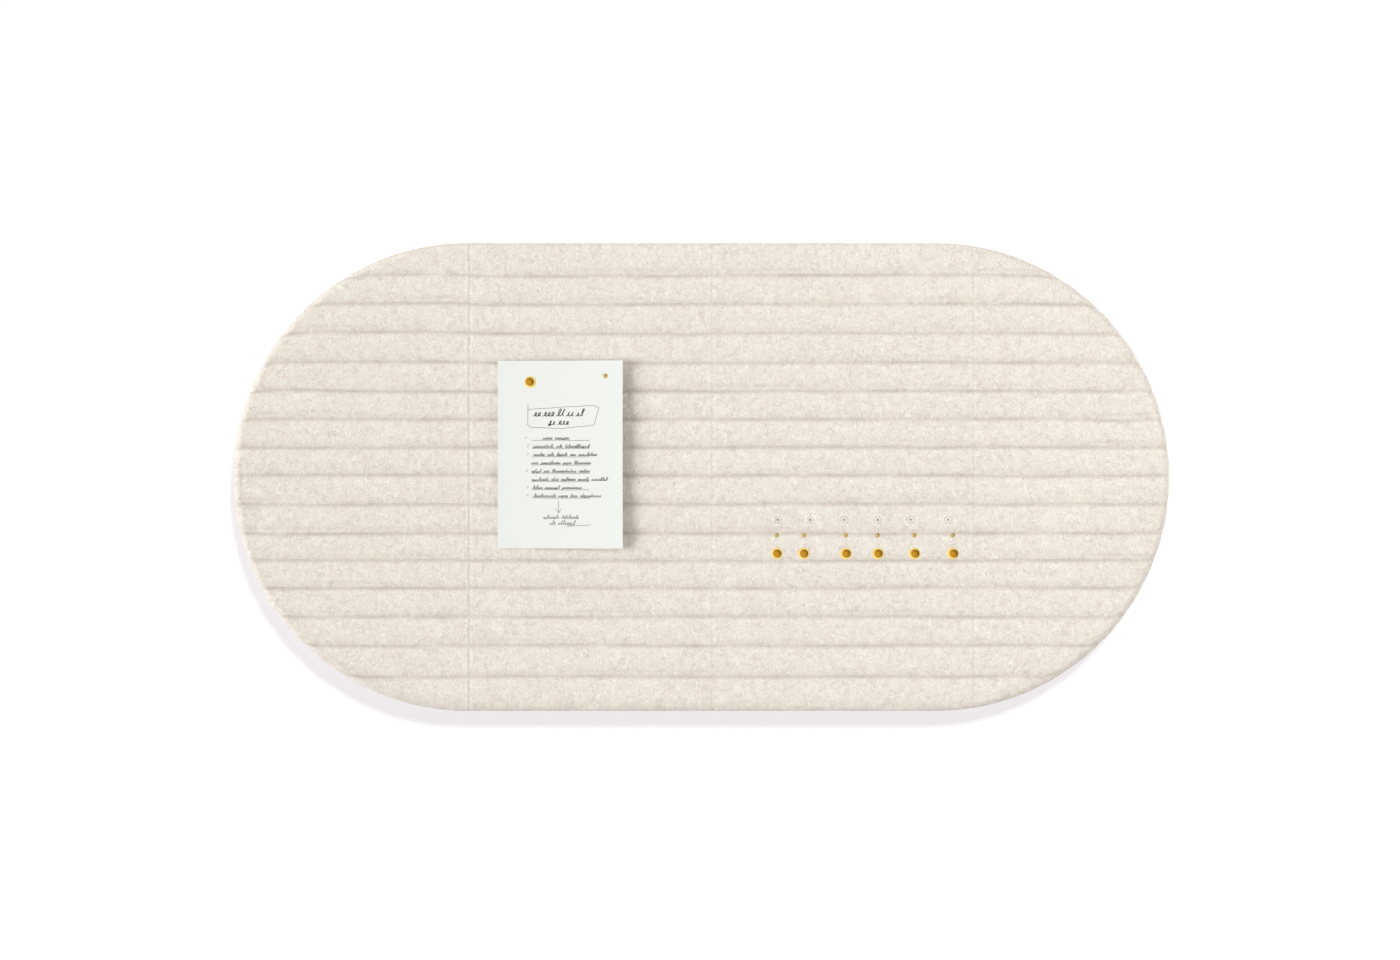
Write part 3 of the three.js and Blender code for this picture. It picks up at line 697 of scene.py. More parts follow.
    # What the material reads: how high the wool stands, which paints it creamer, partly as a painted
    # highlight, and the painted shade along creases, second folds, seams and the lower roll
    signed = (rowZ - creases[crease]) / mm + cover["shadeDropMm"]
    shadeWidth = np.where(signed > 0, cover["upperShadeMm"], cover["lowerShadeMm"])
    creaseShadeLine = (np.where(above, cover["upperShade"], cover["lowerShade"])
                  * np.exp(-(signed / shadeWidth) ** 2))
    paintedShadeMask = creaseShadeLine[:, None] * within(cover["shadeSpan"], uneven("crease", gridX, gridZ))
    paintedShadeMask = paintedShadeMask + cover["foldShade"] * foldShape[:, None] * foldMask
    paintedShadeMask = np.maximum(paintedShadeMask * grooveFade, seamShade)
    # Painted shade on the lower roll, darker towards the bottom edge, its strength varied by noise
    rollShadeBand = smoothStep((w / mm - cover["rollFromMm"]) / cover["rollWidthMm"])
    rollShadeBand = rollShadeBand * np.clip(-outZ, 0, 1) * (1 - smoothStep(w / (cover["rollFadeMm"] * mm) - 1))
    rollShadeNoise = within(cover["rollShadeSpan"], uneven("rollShadeNoise", gridX, gridZ))
    paintedShadeMask = paintedShadeMask + cover["rollShade"] * rollShadeBand * rollShadeNoise
    for name, values, atBack in (("tuft", tuft + seamHighlight, 0.5), ("crease", paintedShadeMask, 0)):
        values = np.concatenate([values.ravel()[used], np.full(len(extra), atBack)])
        attribute = mesh.attributes.new(name, "FLOAT", "POINT")
        attribute.data.foreach_set("value", values.astype(np.float32))
    return mesh


feltPieces = {"felt_left_end": "left_end_felt", "felt_centre_left": "centre_left_felt",
              "felt_centre_right": "centre_right_felt", "felt_right_end": "right_end_felt"}
feltBoxes = [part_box(node) for node in feltPieces]
seamPlaces = [(one[1].x + two[0].x) / 2 for one, two in zip(feltBoxes, feltBoxes[1:])]
for index, (node, pieceName) in enumerate(feltPieces.items()):
    panel = addPiece(pieceName, buildPanel(index, node, pieceName), "felt", "board", [node])
    print("felt panel:", pieceName, len(panel.data.polygons), "faces")


# Outlines, and solids turned about the depth axis
def arcPoints(centreX, centreY, radius, fromDegrees, toDegrees, steps):
    turns = [math.radians(fromDegrees + (toDegrees - fromDegrees) * step / steps)
             for step in range(steps + 1)]
    return [(centreX + radius * math.cos(turn), centreY + radius * math.sin(turn))
            for turn in turns]


def stadiumOutline(reach, radius, steps):
    return (arcPoints(reach, 0, radius, -90, 90, steps)
            + arcPoints(-reach, 0, radius, 90, 270, steps))


# Closed solid: the profile runs from axis to axis, as radius and height
def turned(name, profile, segments, sharpDegrees=35):
    points, rings = [], []
    for radius, height in profile:
        if radius < 1e-7:
            rings.append([len(points)] * segments)
            points.append((0, -height, 0))
            continue
        rings.append([len(points) + step for step in range(segments)])
        for step in range(segments):
            turn = 2 * math.pi * step / segments
            points.append((radius * math.cos(turn), -height, radius * math.sin(turn)))
    return meshFrom(name, points, sleeve(rings, capped=False), sharpDegrees)


# Foam pad: a cut slab with softened edges
foam = {"edgeMm": 1.2, "edgeSteps": 4, "endSteps": 96}


def buildFoam():
    near, far = depthsOf("foam_pad")
    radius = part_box("foam_pad")[1].z
    edge = foam["edgeMm"] * mm
    rings, points = [], []
    for side in (0, 1):
        for step in range(foam["edgeSteps"] + 1):
            turn = quarterTurn * (step / foam["edgeSteps"] + side)
            inset = edge * (1 - math.sin(turn))
            depth = far - edge * (1 + math.cos(turn)) if side else near + edge * (1 - math.cos(turn))
            outline = stadiumOutline(armReach, radius - inset, foam["endSteps"])
            rings.append([len(points) + place for place in range(len(outline))])
            points += [(x, -depth, z) for x, z in outline]
    return meshFrom("foam_slab", points, sleeve(rings[::-1]))


foamPiece = addPiece("foam_slab", buildFoam(), "foam", "board", ["foam_pad"])
frame["nodes"]["backing_board"].data.materials.clear()
frame["nodes"]["backing_board"].data.materials.append(materials["fibreboard"])


# Keyhole hangers: stamped plates with softened edges, each held by two pan-head screws
hanger = {"entryMm": 10.0, "slotMm": 5.0, "riseMm": 9.0, "screwSpacingMm": 37.0, "holeMm": 3.5,
          "edgeMm": 0.18, "joinMm": 0.002}


def plateOutlines(width, length):
    entry, slot, hole = (hanger[name] / 2 * mm for name in ("entryMm", "slotMm", "holeMm"))
    rise, spacing = hanger["riseMm"] / 2 * mm, hanger["screwSpacingMm"] / 2 * mm
    lean = math.degrees(math.asin(slot / entry))
    upright = [(z, x) for x, z in stadiumOutline((length - width) / 2, width / 2, 24)]
    keyhole = arcPoints(0, -rise, entry, 90 + lean, 450 - lean, 40)
    keyhole += arcPoints(0, rise, slot, 0, 180, 16)
    return [upright, keyhole] + [arcPoints(0, centre, hole, 0, 345, 23)
                                 for centre in (-spacing, spacing)]


def buildPlate():
    low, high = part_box("hanger_plate_left")
    edge = hanger["edgeMm"] * mm
    curve = bpy.data.curves.new("plate_plan", "CURVE")
    curve.dimensions, curve.fill_mode = "2D", "BOTH"
    curve.extrude, curve.bevel_depth = (high.y - low.y) / 2 - edge, edge
    curve.bevel_resolution, curve.offset = 2, -edge
    for outline in plateOutlines(high.x - low.x, high.z - low.z):
        spline = curve.splines.new("POLY")
        spline.points.add(len(outline) - 1)
        for point, (x, z) in zip(spline.points, outline):
            point.co = (x, z, 0, 1)
        spline.use_cyclic_u = True
    mesh = meshOf(inScene("plate_plan", curve), "keyhole_plate")
    mesh.transform(Matrix.Rotation(quarterTurn, 4, "X"))
    mesh.materials.clear()
    return smoothed(facedOutward(mesh, hanger["joinMm"]), 40)


screwShape = {"headMm": 6.0, "headHeightMm": 1.7, "rimShare": 0.35, "shankMm": 2.9, "tipMm": 1.4,
              "recessLengthMm": 3.2, "recessWidthMm": 0.8, "recessDepthMm": 0.9,
              "recessTaper": 0.6, "threadMm": 0.28, "pitchMm": 1.1, "threadFromMm": 1.3}


# Drawn with the underside of the head at zero, the head to the wall and the point forward
def buildScrew():
    near, far = depthsOf("hanger_screw_left_top")
    head, rise = screwShape["headMm"] / 2 * mm, screwShape["headHeightMm"] * mm
    shank, tip = screwShape["shankMm"] / 2 * mm, screwShape["tipMm"] * mm
    length, rim = far - near - rise, screwShape["rimShare"]
    profile = [(head * math.sin(math.radians(turn)),
                -rise * (rim + (1 - rim) * math.cos(math.radians(turn))))
               for turn in range(0, 91, 9)]
    core = shank - screwShape["threadMm"] * mm
    pitch, height = screwShape["pitchMm"] * mm, screwShape["threadFromMm"] * mm
    profile += [(head, 0), (shank, 0), (shank, pitch)]
    while height < length - tip - pitch:
        profile += [(core, height), (shank, height + pitch / 2)]
        height += pitch
    profile += [(core, length - tip), (0, length)]
    screw = inScene("screw_blank", turned("screw_blank", profile, 32))

    # A cross recess with tapered arms
    long, wide, deep = (screwShape[name] * mm for name in
                        ("recessLengthMm", "recessWidthMm", "recessDepthMm"))
    cut = bmesh.new()
    for size in ((long, 2 * deep, wide), (wide, 2 * deep, long)):
        bar = bmesh.ops.create_cube(cut, size=1.0)["verts"]
        bmesh.ops.scale(cut, vec=size, verts=bar)
        for vertex in bar:
            vertex.co.y += rise
            if vertex.co.y < rise:
                vertex.co.x *= screwShape["recessTaper"]
                vertex.co.z *= screwShape["recessTaper"]
    cutMesh = bpy.data.meshes.new("recess")
    cut.to_mesh(cutMesh)
    cut.free()
    cutter = inScene("recess", cutMesh)
    modifier = screw.modifiers.new("recess", "BOOLEAN")
    modifier.operation, modifier.solver, modifier.object = "DIFFERENCE", "EXACT", cutter
    modifier.use_self = True
    mesh = meshOf(screw, "pan_head_screw")
    bpy.data.objects.remove(cutter)
    return smoothed(mesh, 35)


# Rubber bumpers: round, eased at the rim, with a shallow dimple from the mould
bumper = {"easeMm": 1.0, "backEaseMm": 0.3, "dimpleMm": 1.6, "dimpleDepthMm": 0.4}


def buildBumper():
    low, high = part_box("bumper_left_top")
    radius, height = (high.x - low.x) / 2, high.y - low.y
    ease, backEase = bumper["easeMm"] * mm, bumper["backEaseMm"] * mm
    dimple, sunk = bumper["dimpleMm"] * mm, bumper["dimpleDepthMm"] * mm
    profile = [(0, sunk), (dimple * 0.6, sunk * 0.7), (dimple, 0)]
    profile += arcPoints(radius - ease, ease, ease, -90, 0, 6)
    profile += arcPoints(radius - backEase, height - backEase, backEase, 0, 90, 3)
    return turned("rubber_bumper", profile + [(0, height)], 48)


plateMesh, screwMesh, bumperMesh = buildPlate(), buildScrew(), buildBumper()
for side in ("left", "right"):
    node = f"hanger_plate_{side}"
    centre = middleOf(node)
    plate = addPiece(f"keyhole_plate_{side}", plateMesh, "zinc_plate", "board", [node])
    placeAt(plate, centre.x, -centre.y, centre.z, "board")
    for end in ("top", "bottom"):
        node = f"hanger_screw_{side}_{end}"
        centre = middleOf(node)
        screw = addPiece(f"plate_screw_{side}_{end}", screwMesh, "screw_steel", "board", [node])
        seat = depthsOf(node)[0] + screwShape["headHeightMm"] * mm
        placeAt(screw, centre.x, seat, centre.z, "board")
for side in ("left", "right"):
    for end in ("top", "bottom"):
        node = f"bumper_{side}_{end}"
        centre = middleOf(node)
        piece = addPiece(f"rubber_bumper_{side}_{end}", bumperMesh, "bumper_rubber", "board",
                         [node])
        placeAt(piece, centre.x, 0, centre.z, "board")


# Staples along the turned-in felt
staple = {"crownMm": 10.0, "legMm": 3.2, "wireMm": 0.6, "widthMm": 1.1, "bendMm": 0.5,
          "spacingMm": 29.0, "insetMm": 13.0, "sunkMm": 0.25, "lean": 0.12, "strayMm": 1.0}


def buildStaples():
    rng = np.random.default_rng(5)
    radius = halfHeight - staple["insetMm"] * mm
    straight, arc = 2 * armReach, math.pi * radius
    count = int(2 * (straight + arc) / (staple["spacingMm"] * mm))
    wire, wide = staple["wireMm"] * mm, staple["widthMm"] * mm
    half, bend = staple["crownMm"] / 2 * mm, staple["bendMm"] * mm
    leftPath = [(-half, staple["legMm"] * mm)] + arcPoints(bend - half, bend, bend, 180, 270, 3)
    path = leftPath + [(-along, sink) for along, sink in reversed(leftPath)]
    top = returnDepth - staple["sunkMm"] * mm
    points, faces = [], []
    for index in range(count):
        # Along the bottom and round the right end, then along the top and round the left end
        side, past = divmod((index + 0.5) / count * 2 * (straight + arc), straight + arc)
        turn = math.pi * side - quarterTurn + max(past - straight, 0) / radius
        x = (1 - 2 * side) * (min(past, straight) - armReach) + radius * math.cos(turn)
        z = radius * math.sin(turn)
        lean = turn + quarterTurn + rng.uniform(-staple["lean"], staple["lean"])
        shiftX, shiftZ = rng.uniform(-1, 1, 2) * staple["strayMm"] * mm
        rings = []
        for order, (along, sink) in enumerate(path):
            before, after = path[max(order - 1, 0)], path[min(order + 1, len(path) - 1)]
            tangent = Vector((after[0] - before[0], after[1] - before[1])).normalized()
            rings.append([len(points) + place for place in range(4)])
            for acrossSign, liftSign in ((-1, -1), (1, -1), (1, 1), (-1, 1)):
                across = acrossSign * wide / 2
                localX = along - liftSign * wire / 2 * tangent.y
                localDepth = sink + liftSign * wire / 2 * tangent.x
                points.append((x + shiftX + localX * math.cos(lean) - across * math.sin(lean),
                               -(top + localDepth),
                               z + shiftZ + localX * math.sin(lean) + across * math.cos(lean)))
        faces += sleeve(rings)
    return facedOutward(meshFrom("return_staples", points, faces))


addPiece("return_staples", buildStaples(), "", "board", material="staple_wire")
print("back finished")


# Push pins, drawn with the underside of the head at zero
spool = {"flangeMm": 1.1, "edgeMm": 0.4, "waistMm": 2.4, "footShare": 0.68, "footPower": 5,
         "drumMm": 3.4, "drumHeightMm": 2.6, "drumPower": 4, "crownMm": 0.8, "waistSteps": 14}


def buildSpool(name):
    low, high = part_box("gold_pin_1_head")
    flangeRadius, height = (high.x - low.x) / 2, high.y - low.y
    flange, edge, waist, drum, drumHeight, crown = (spool[name] * mm for name in (
        "flangeMm", "edgeMm", "waistMm", "drumMm", "drumHeightMm", "crownMm"))
    footSwell, drumSwell = flangeRadius * spool["footShare"] - waist, drum - waist
    profile = [(0, 0)] + arcPoints(flangeRadius - edge, edge, edge, -90, 0, 5)
    profile += arcPoints(flangeRadius - edge, flange - edge * 0.6, edge, 10, 80, 5)
    for step in range(spool["waistSteps"] + 1):
        share = step / spool["waistSteps"]
        swell = (footSwell * (1 - share) ** spool["footPower"]
                 + drumSwell * share ** spool["drumPower"])
        rise = flange + edge * 0.4 + (height - drumHeight - flange) * share
        profile.append((waist + swell, rise))
    profile += arcPoints(drum - edge, height - crown - edge, edge, 0, 75, 5)
    profile += [((drum - edge) * math.cos(math.radians(turn)),
                 height - crown + crown * math.sin(math.radians(turn)))
                for turn in range(15, 90, 15)]
    return turned(name, profile + [(0, height)], 48, 60)


def buildBall():
    low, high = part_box("ball_pin_1_head")
    radius = (high.y - low.y) / 2
    profile = arcPoints(0, radius, radius, -90, 90, 20)
    profile[0], profile[-1] = (0, 0), (0, 2 * radius)
    return turned("ball_head", profile, 40, 60)


# Needles have their point at zero. In a clear head the crimped root shows as a grey dot: the clear
# pins' needles are painted darker, as painted shade for the root inside the head.
needleShape = {"tipMm": 2.4, "tipSteps": 6, "edgeMm": 0.1, "rootMm": 0.95, "rootLengthMm": 2.6}


def buildNeedle(name, node, crimped=False):
    low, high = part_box(node)
    radius, length = (high.x - low.x) / 2, high.y - low.y
    tip, edge, root, rootLength = (needleShape[name] * mm for name in (
        "tipMm", "edgeMm", "rootMm", "rootLengthMm"))
    shares = [step / needleShape["tipSteps"] for step in range(needleShape["tipSteps"] + 1)]
    profile = [(radius * math.sin(quarterTurn * share), tip * share) for share in shares]
    if crimped:
        profile += [(radius, length - rootLength), (root, length - rootLength + 4 * edge)]
        radius = root
    profile += [(radius, length - edge), (radius - edge, length), (0, length)]
    return turned(name, profile, 24, 60)


# Each kind of head with its mesh, slot and finish, and its needle's mesh and finish
pinKinds = {
    "gold": ("spool", buildSpool("gold_spool"), "gold", "gold",
             buildNeedle("spool_needle", "gold_pin_1_needle"), "needle_steel"),
    "clear": ("spool", buildSpool("clear_spool"), "clear_plastic", "clear_plastic",
              buildNeedle("clear_needle", "clear_pin_1_needle", True), "shaded_crimped_steel"),
    "ball": ("ball", buildBall(), "gold", "ball_gold",
             buildNeedle("ball_needle", "ball_pin_1_needle"), "needle_steel"),
}
pinBodies = [body for body in frame["bodies"] if "_pin" in body]
pinPieces = []
for body in pinBodies:
    head, needle = f"{body}_head", f"{body}_needle"
    centre = middleOf(head)
    shape, mesh, slot, finish, needleMesh, steel = next(
        entry for kind, entry in pinKinds.items() if kind in body)
    headPiece = addPiece(f"{body}_{shape}", mesh, slot, body, [head], finish)
    headPiece.visible_diffuse = False  # so no amber cast falls on the felt beside a head
    placeAt(headPiece, centre.x, depthsOf(head)[0], centre.z, body)
    needlePiece = addPiece(f"{body}_steel", needleMesh, "needle_steel", body, [needle], steel)
    placeAt(needlePiece, centre.x, depthsOf(needle)[0], centre.z, body)
    pinPieces += [headPiece, needlePiece]
print("pins set:", len(pinBodies))


# Note card: pinned near its top, with its right edge curling off the felt
card = {"thicknessMm": 0.4, "curlPower": 1.6, "columns": 64, "rows": 48, "rippleMm": 0.12,
        "rippleWidthMm": 30, "rippleHeightMm": 40}
cardLow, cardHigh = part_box("note_card")
cardRear = -cardHigh.y
cardCurl = (cardHigh.y - cardLow.y) - card["thicknessMm"] * mm


# Depth of the card's face, with its slight unevenness added only away from the felt
def cardFaceDepth(x, z):
    across = np.clip((x - cardLow.x) / (cardHigh.x - cardLow.x), 0, 1)
    wave = latticeNoise(x, z, card["rippleWidthMm"] * mm, card["rippleHeightMm"] * mm, 77)
    ripple = card["rippleMm"] * mm * (wave * across - across ** 4)
    lift = cardCurl * across ** card["curlPower"]
    return cardRear + card["thicknessMm"] * mm + lift + ripple


def buildCard():
    columns, rows = card["columns"], card["rows"]
    gridX, gridZ = np.meshgrid(np.linspace(cardLow.x, cardHigh.x, columns + 1),
                               np.linspace(cardLow.z, cardHigh.z, rows + 1))
    front = cardFaceDepth(gridX, gridZ)
    points = [np.stack([gridX.ravel(), -depth.ravel(), gridZ.ravel()], axis=1)
              for depth in (front, front - card["thicknessMm"] * mm)]
    count = columns + 1
    size = count * (rows + 1)
    faces = []
    for row in range(rows):
        for column in range(columns):
            a = row * count + column
            faces.append([a, a + 1, a + count + 1, a + count])
            faces.append([size + a, size + a + count, size + a + count + 1, size + a + 1])
    rim = list(range(columns)) + [row * count + columns for row in range(rows)]
    rim += [rows * count + column for column in range(columns, 0, -1)]
    rim += [row * count for row in range(rows, 0, -1)]
    faces += [[b, a, size + a, size + b] for a, b in zip(rim, rim[1:] + rim[:1])]
    return meshFrom("note_card_stock", np.concatenate(points), faces, 30)


addPiece("note_card_stock", buildCard(), "card", "note", ["note_card"])


# Pen marks: plain strokes and ruled lines that stand for notes, laid on the card's face.
# Places are in millimetres from the card's upper left corner, or from the left of its lines.
pen = {
    "widthMm": 0.44, "ruleWidthMm": 0.3, "liftMm": 0.03, "swayMm": 0.12, "wordGapMm": 1.9,
    "leftMm": 27.8, "ruleMm": 46.8, "firstMm": 64.5, "gapMm": 6.7,
    "frameMm": [(-3.2, 41), (-2.8, 39.5), (22, 37.9), (50, 36.4), (54.5, 38.2),
                (50.5, 52.4), (24, 55), (-1.5, 54), (-3.4, 52), (-3.2, 35.5)],
    # Each with its indent, height down the card, words, letter height and width of stroke
    "headings": [(1, 44.9, (6, 9, 6, 6, 6), 3.1, 1.7), (13, 51.7, (6, 9), 3.1, 1.7)],
    "endings": [(9, 128.0, (13, 14), 1.5, 0.8), (14, 133.0, (5, 14), 1.9, 0.8)],
    "lines": [(8, 12), (17, 5, 20), (9, 6, 9, 5, 15), (6, 16, 7, 14), (8, 5, 20, 9),
              (14, 6, 12, 9, 13), (8, 12, 16), (18, 8, 6, 17)],
    "letterMm": 1.45, "firstIndentMm": 8.5, "ruleRiseMm": 0.2, "aboveRuleMm": 0.7,
    "unticked": (3, 5), "tickMm": (-5, 1.2, 1.6, 1.7),
    "arrowMm": (49.4, 113.7, 9.8), "barbMm": (2.2, 3), "endRuleMm": (28, 134.4, 48, 133.2),
    # Loops, as shares of the letter height: how they rise and hang, each with its chance
    "rises": ((0.75, 0.9, 1.0, 1.9), (0.3, 0.3, 0.2, 0.2)),
    "drops": ((0.0, 0.1, 0.9), (0.5, 0.38, 0.12)),
    "loopWidth": 0.95, "loopSteps": 14, "slant": 0.4, "bulge": 0.42, "bulgeSpan": (0.5, 1.1),
}


def penRibbon(points, faces, route, width):
    route = np.array(route)
    x = cardLow.x + route[:, 0] * mm
    z = cardHigh.z - route[:, 1] * mm
    stepX, stepZ = np.gradient(x), np.gradient(z)
    length = np.maximum(np.hypot(stepX, stepZ), 1e-9)
    sideX, sideZ = -stepZ / length * width * mm / 2, stepX / length * width * mm / 2
    rings = []
    for order in range(len(x)):
        rings.append([len(points) + place for place in (0, 1, 3, 2)])
        for sign in (1, -1):
            px, pz = x[order] + sign * sideX[order], z[order] + sign * sideZ[order]
            face = float(cardFaceDepth(np.array([px]), np.array([pz]))[0])
            points += [(px, -(face + lift), pz) for lift in (0, pen["liftMm"] * mm)]
    faces += sleeve(rings)


# One joined run of slanted loops, some of them taller or hanging lower than the rest
def loopRoute(rng, left, length, down, rise):
    loops = max(int(round(length / (rise * pen["loopWidth"]))), 2)
    turn = np.linspace(0, 2 * math.pi * loops, pen["loopSteps"] * loops + 1)
    beat = np.minimum((turn / (2 * math.pi)).astype(int), loops - 1)
    height, drop = (rise * rng.choice(shares, loops, p=chances)
                    for shares, chances in (pen["rises"], pen["drops"]))
    swing = (1 - np.cos(turn)) / 2
    up = (height[beat] + drop[beat]) * swing - drop[beat] * smoothStep(swing * 4)
    bulge = pen["bulge"] * rise * np.sin(turn) * rng.uniform(*pen["bulgeSpan"], loops)[beat]
    along = length * turn / turn[-1] + bulge
    return np.stack([left + along + pen["slant"] * up, down - up], axis=1)


def buildPenMarks():
    rng = np.random.default_rng(9)
    points, faces = [], []
    left = pen["leftMm"]

    def straight(fromX, fromDown, toX, toDown):
        shares = np.linspace(0, 1, max(int(abs(toX - fromX) + abs(toDown - fromDown)), 3))
        sway = pen["swayMm"] * np.sin(shares * 9 + rng.uniform(0, 6))
        route = np.stack([left + fromX + (toX - fromX) * shares,
                          fromDown + (toDown - fromDown) * shares + sway], axis=1)
        penRibbon(points, faces, route, pen["ruleWidthMm"])

    def strokes(indent, down, words, rise, weight):
        for word in words:
            route = loopRoute(rng, left + indent, word, down, rise)
            penRibbon(points, faces, route, pen["widthMm"] * weight)
            indent += word + pen["wordGapMm"]

    # A loose frame round two heading lines, then ruled lines with a tick and strokes on each
    for one, two in zip(pen["frameMm"], pen["frameMm"][1:]):
        straight(*one, *two)
    for heading in pen["headings"]:
        strokes(*heading)
    tickX, tickUp, tickWidth, tickRise = pen["tickMm"]
    for row, words in enumerate(pen["lines"]):
        down = pen["firstMm"] + row * pen["gapMm"]
        indent = rng.uniform(-1, 2) if row else pen["firstIndentMm"]
        straight(0, down, pen["ruleMm"], down + pen["ruleRiseMm"])
        strokes(indent, down - pen["aboveRuleMm"], words, pen["letterMm"], 1)
        if row not in pen["unticked"]:
            tick, foot = tickX + rng.uniform(-1, 1), down - tickUp
            straight(tick, foot, tick + tickWidth, foot - tickRise)

    # An arrow down to two last lines, the lower one ruled
    arrowX, arrowTop, arrowLength = pen["arrowMm"]
    arrowX, arrowEnd = arrowX - left, arrowTop + arrowLength
    barbWidth, barbHeight = pen["barbMm"]
    straight(arrowX, arrowTop, arrowX, arrowEnd)
    for side in (-barbWidth, barbWidth):
        straight(arrowX + side, arrowEnd - barbHeight, arrowX, arrowEnd)
    for ending in pen["endings"]:
        strokes(*ending)
    straight(*pen["endRuleMm"])
    return facedOutward(meshFrom("note_pen_marks", points, faces))


addPiece("note_pen_marks", buildPenMarks(), "", "note", material="ink")
print("note finished")


# Stage: a white wall that catches the board's shadow and is clear from behind
stage = {"glow": 0.698, "glowTint": "#fefaff", "wallTone": 0.34, "halfSize": 6.0, "ambient": 0.395,
         "bounceTint": "#fffcf7", "lampTint": "#fcfeff", "mirrorDark": 0.32, "mirrorBright": 1.2,
         "mirrorTowards": (-0.86, 0, -0.5), "mirrorReach": 0.85, "mirrorAhead": 0.28,
         "aheadFrom": 0.86, "aheadTo": 0.98}


def buildWall():
    half, tone = stage["halfSize"], stage["wallTone"]
    corners = [(-half, 0, -half), (half, 0, -half), (half, 0, half), (-half, 0, half)]
    mesh = bpy.data.meshes.new("wall")
    mesh.from_pydata(corners, [], [[0, 1, 2, 3]])
    material, tree = newMaterial("whiteWall")
    glow = addNode(tree, "Emission", {"Strength": stage["glow"],
                                      "Color": linear(stage["glowTint"])}).outputs[0]
    paint = addNode(tree, "BsdfDiffuse", {"Color": (tone, tone, tone, 1)}).outputs[0]
    front = addNode(tree, "AddShader", None, {0: glow, 1: paint}).outputs[0]
    clear = addNode(tree, "BsdfTransparent").outputs[0]
    behind = addNode(tree, "NewGeometry").outputs["Backfacing"]
    both = addNode(tree, "MixShader", None, {0: behind, 1: front, 2: clear}).outputs[0]
    addNode(tree, "OutputMaterial", None, {"Surface": both})
    mesh.materials.append(material)
    wall = inScene("wall", mesh)
    wall.location.y = 0.3 * mm
    wall.visible_diffuse = False
    wall.visible_shadow = False
    return wall


# White to the camera and through clear plastic. Mirrors see a room that is brighter on the left
# and straight ahead, which gives the gold its dark and light sides.
def buildWorld():
    world = bpy.data.worlds.new("studio")
    bpy.context.scene.world = world
    world.use_nodes = True
    tree = world.node_tree
    tree.nodes.clear()
    path = addNode(tree, "LightPath").outputs
    seen = addNode(tree, "Math", {"operation": "MAXIMUM"},
                   {0: path["Is Camera Ray"], 1: path["Is Transmission Ray"]}).outputs[0]
    direction = addNode(tree, "TexCoord").outputs["Generated"]
    leftness, ahead = (
        addNode(tree, "VectorMath", {"operation": "DOT_PRODUCT", 1: towards},
                {0: direction}).outputs["Value"]
        for towards in (stage["mirrorTowards"], (0, -1, 0)))
    room = addNode(tree, "MapRange",
                   {"From Min": -stage["mirrorReach"], "From Max": stage["mirrorReach"],
                    "To Min": stage["mirrorDark"], "To Max": stage["mirrorBright"]},
                   {"Value": leftness}).outputs["Result"]
    window = addNode(tree, "MapRange",
                     {"interpolation_type": "SMOOTHSTEP", "From Min": stage["aheadFrom"],
                      "From Max": stage["aheadTo"], "To Max": stage["mirrorAhead"]},
                     {"Value": ahead}).outputs["Result"]
    room = addNode(tree, "Math", {"operation": "ADD"}, {0: room, 1: window}).outputs[0]
    mirrored = addNode(tree, "Mix", {"data_type": "FLOAT", 2: stage["ambient"]},
                       {0: path["Is Glossy Ray"], 3: room}).outputs[0]
    strength = addNode(tree, "Mix", {"data_type": "FLOAT", 3: 1.0},
                       {0: seen, 2: mirrored}).outputs[0]
    tint = addNode(tree, "Mix", {"data_type": "RGBA", 6: linear(stage["bounceTint"]),
                                 7: (1.0, 1.0, 1.0, 1.0)}, {0: seen}).outputs[2]
    sky = addNode(tree, "Background", None, {"Strength": strength, "Color": tint})
    addNode(tree, "OutputWorld", None, {"Surface": sky.outputs[0]})


# A lamp's strength lifts a surface that faces it to a share of its written colour. The wall's own
# lamp is a sun as wide as a disk at its place would look, so the wall is white from end to end.
def addLamp(name, place, size, share, wallState):
    towards = Vector((0, -crownDepth, 0)) - Vector(place)
    if wallState == "INCLUDE":
        data = bpy.data.lights.new(name, "SUN")
        data.angle, data.energy = size / towards.length, share * math.pi
    else:
        data = bpy.data.lights.new(name, "AREA")
        data.shape, data.size = "DISK", size
        data.energy = share * math.pi ** 2 * towards.length_squared
    data.color = linear(stage["lampTint"])[:3]
    lamp = inScene(name, data)
    lamp.location = place
    lamp.rotation_euler = towards.to_track_quat("-Z", "Y").to_euler()
    reach = bpy.data.collections.new(name + "_reach")
    reach.objects.link(wall)
    lamp.light_linking.receiver_collection = reach
    reach.collection_objects[0].light_linking.link_state = wallState
    lamp.light_linking.blocker_collection = pinless
    lamp.visible_glossy = False


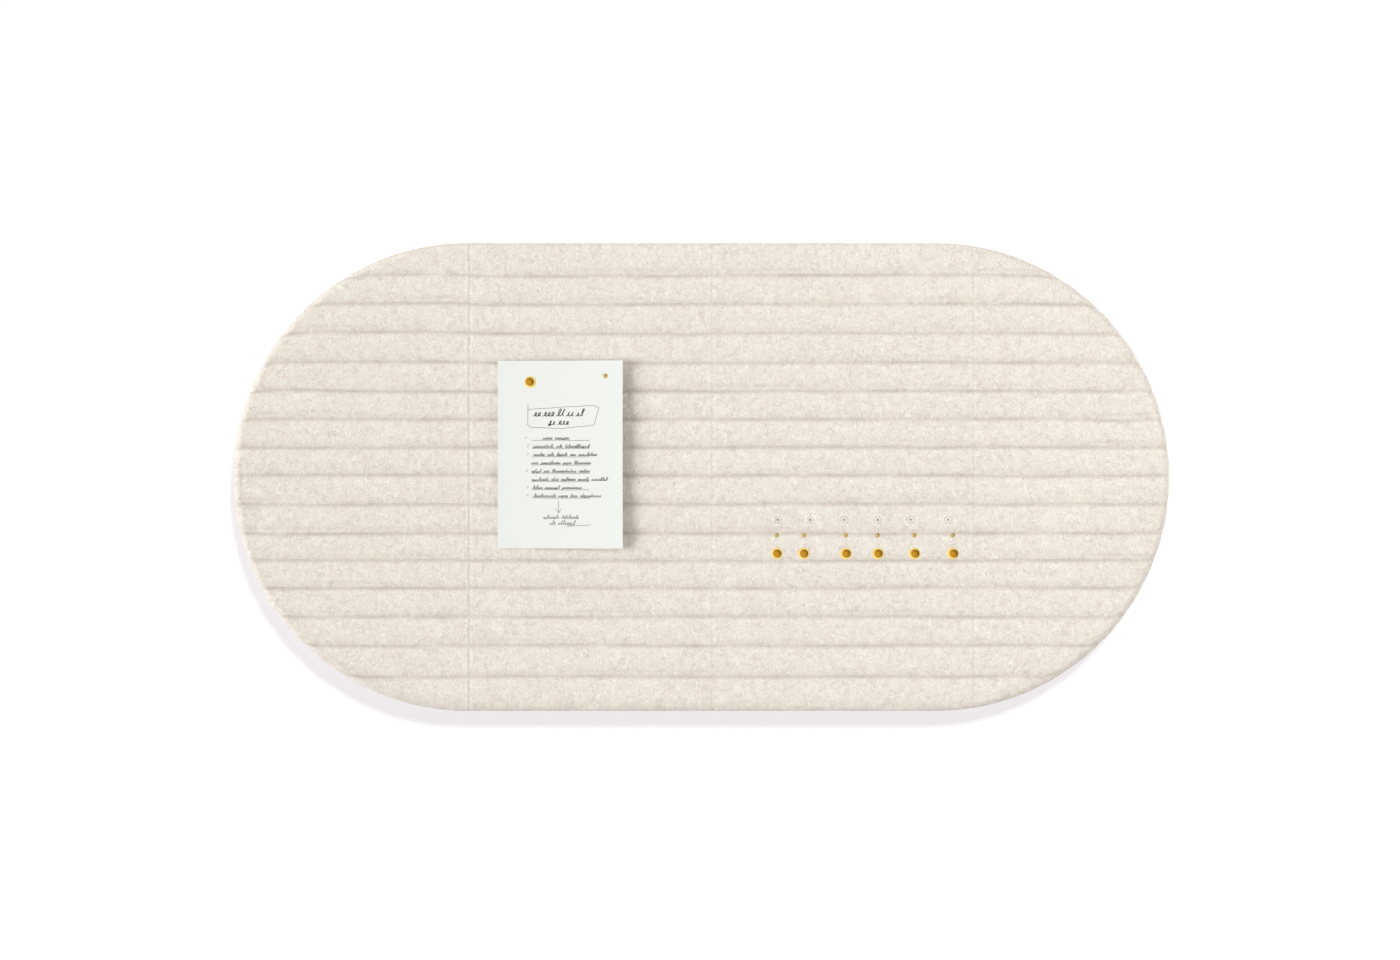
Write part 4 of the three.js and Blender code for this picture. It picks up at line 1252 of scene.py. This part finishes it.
# Each with its place, width, strength, and whether it lights the wall alone or all but the wall.
# The wall has a small lamp of its own, so it shows one shadow. The part's lamps are broad, the
# pins throw no streaks across the note, and weak lamps from the sides and behind keep the rim
# and the back light.
lamps = {"key": ((1.7, -1.7, 0.6), 1.0, 0.18, "EXCLUDE"),
         "fill": ((4.5, -0.9, 0.5), 2.0, 0.22, "EXCLUDE"),
         "side": ((-26.0, -18.0, 1.2), 20.0, 0.885, "EXCLUDE"),
         "wallKey": ((1.15, -3.8, 2.52), 0.8, 0.85, "INCLUDE"),
         "rimHigh": ((0.5, 0.9, 4.0), 2.0, 0.13, "EXCLUDE"),
         "rimLow": ((-0.8, 0.9, -4.0), 2.0, 0.2, "EXCLUDE"),
         "rimRight": ((4.0, 0.3, -0.9), 1.2, 0.15, "EXCLUDE"),
         "rearHigh": ((0.8, 1.6, 1.2), 1.2, 0.3, "EXCLUDE"),
         "rearLow": ((-1.0, 1.7, -0.4), 1.2, 0.25, "EXCLUDE")}
wall = buildWall()
buildWorld()
pinless = bpy.data.collections.new("pins_without_streaks")
for piece in pinPieces:
    pinless.objects.link(piece)
for entry in pinless.collection_objects:
    entry.light_linking.link_state = "EXCLUDE"
for name, (place, size, share, wallState) in lamps.items():
    addLamp(name, place, size, share, wallState)


# Camera: square-on, with the photograph's framing
view = {"frameWidthPx": 1400, "boardWidthPx": 938, "centrePx": (700, 480),
        "boardCentrePx": (701.5, 477), "distance": 2.6, "sensorMm": 36}
metresPerPx = 2 * halfLength / view["boardWidthPx"]
cameraData = bpy.data.cameras.new("camera")
cameraData.sensor_width = view["sensorMm"]
cameraData.lens = view["sensorMm"] * view["distance"] / (view["frameWidthPx"] * metresPerPx)
camera = inScene("camera", cameraData)
camera.location = ((view["centrePx"][0] - view["boardCentrePx"][0]) * metresPerPx,
                   -crownDepth - view["distance"],
                   (view["boardCentrePx"][1] - view["centrePx"][1]) * metresPerPx)
camera.rotation_euler = (quarterTurn, 0, 0)
bpy.context.scene.camera = camera
bpy.context.scene.view_settings.view_transform = "Standard"

print("scene finished")
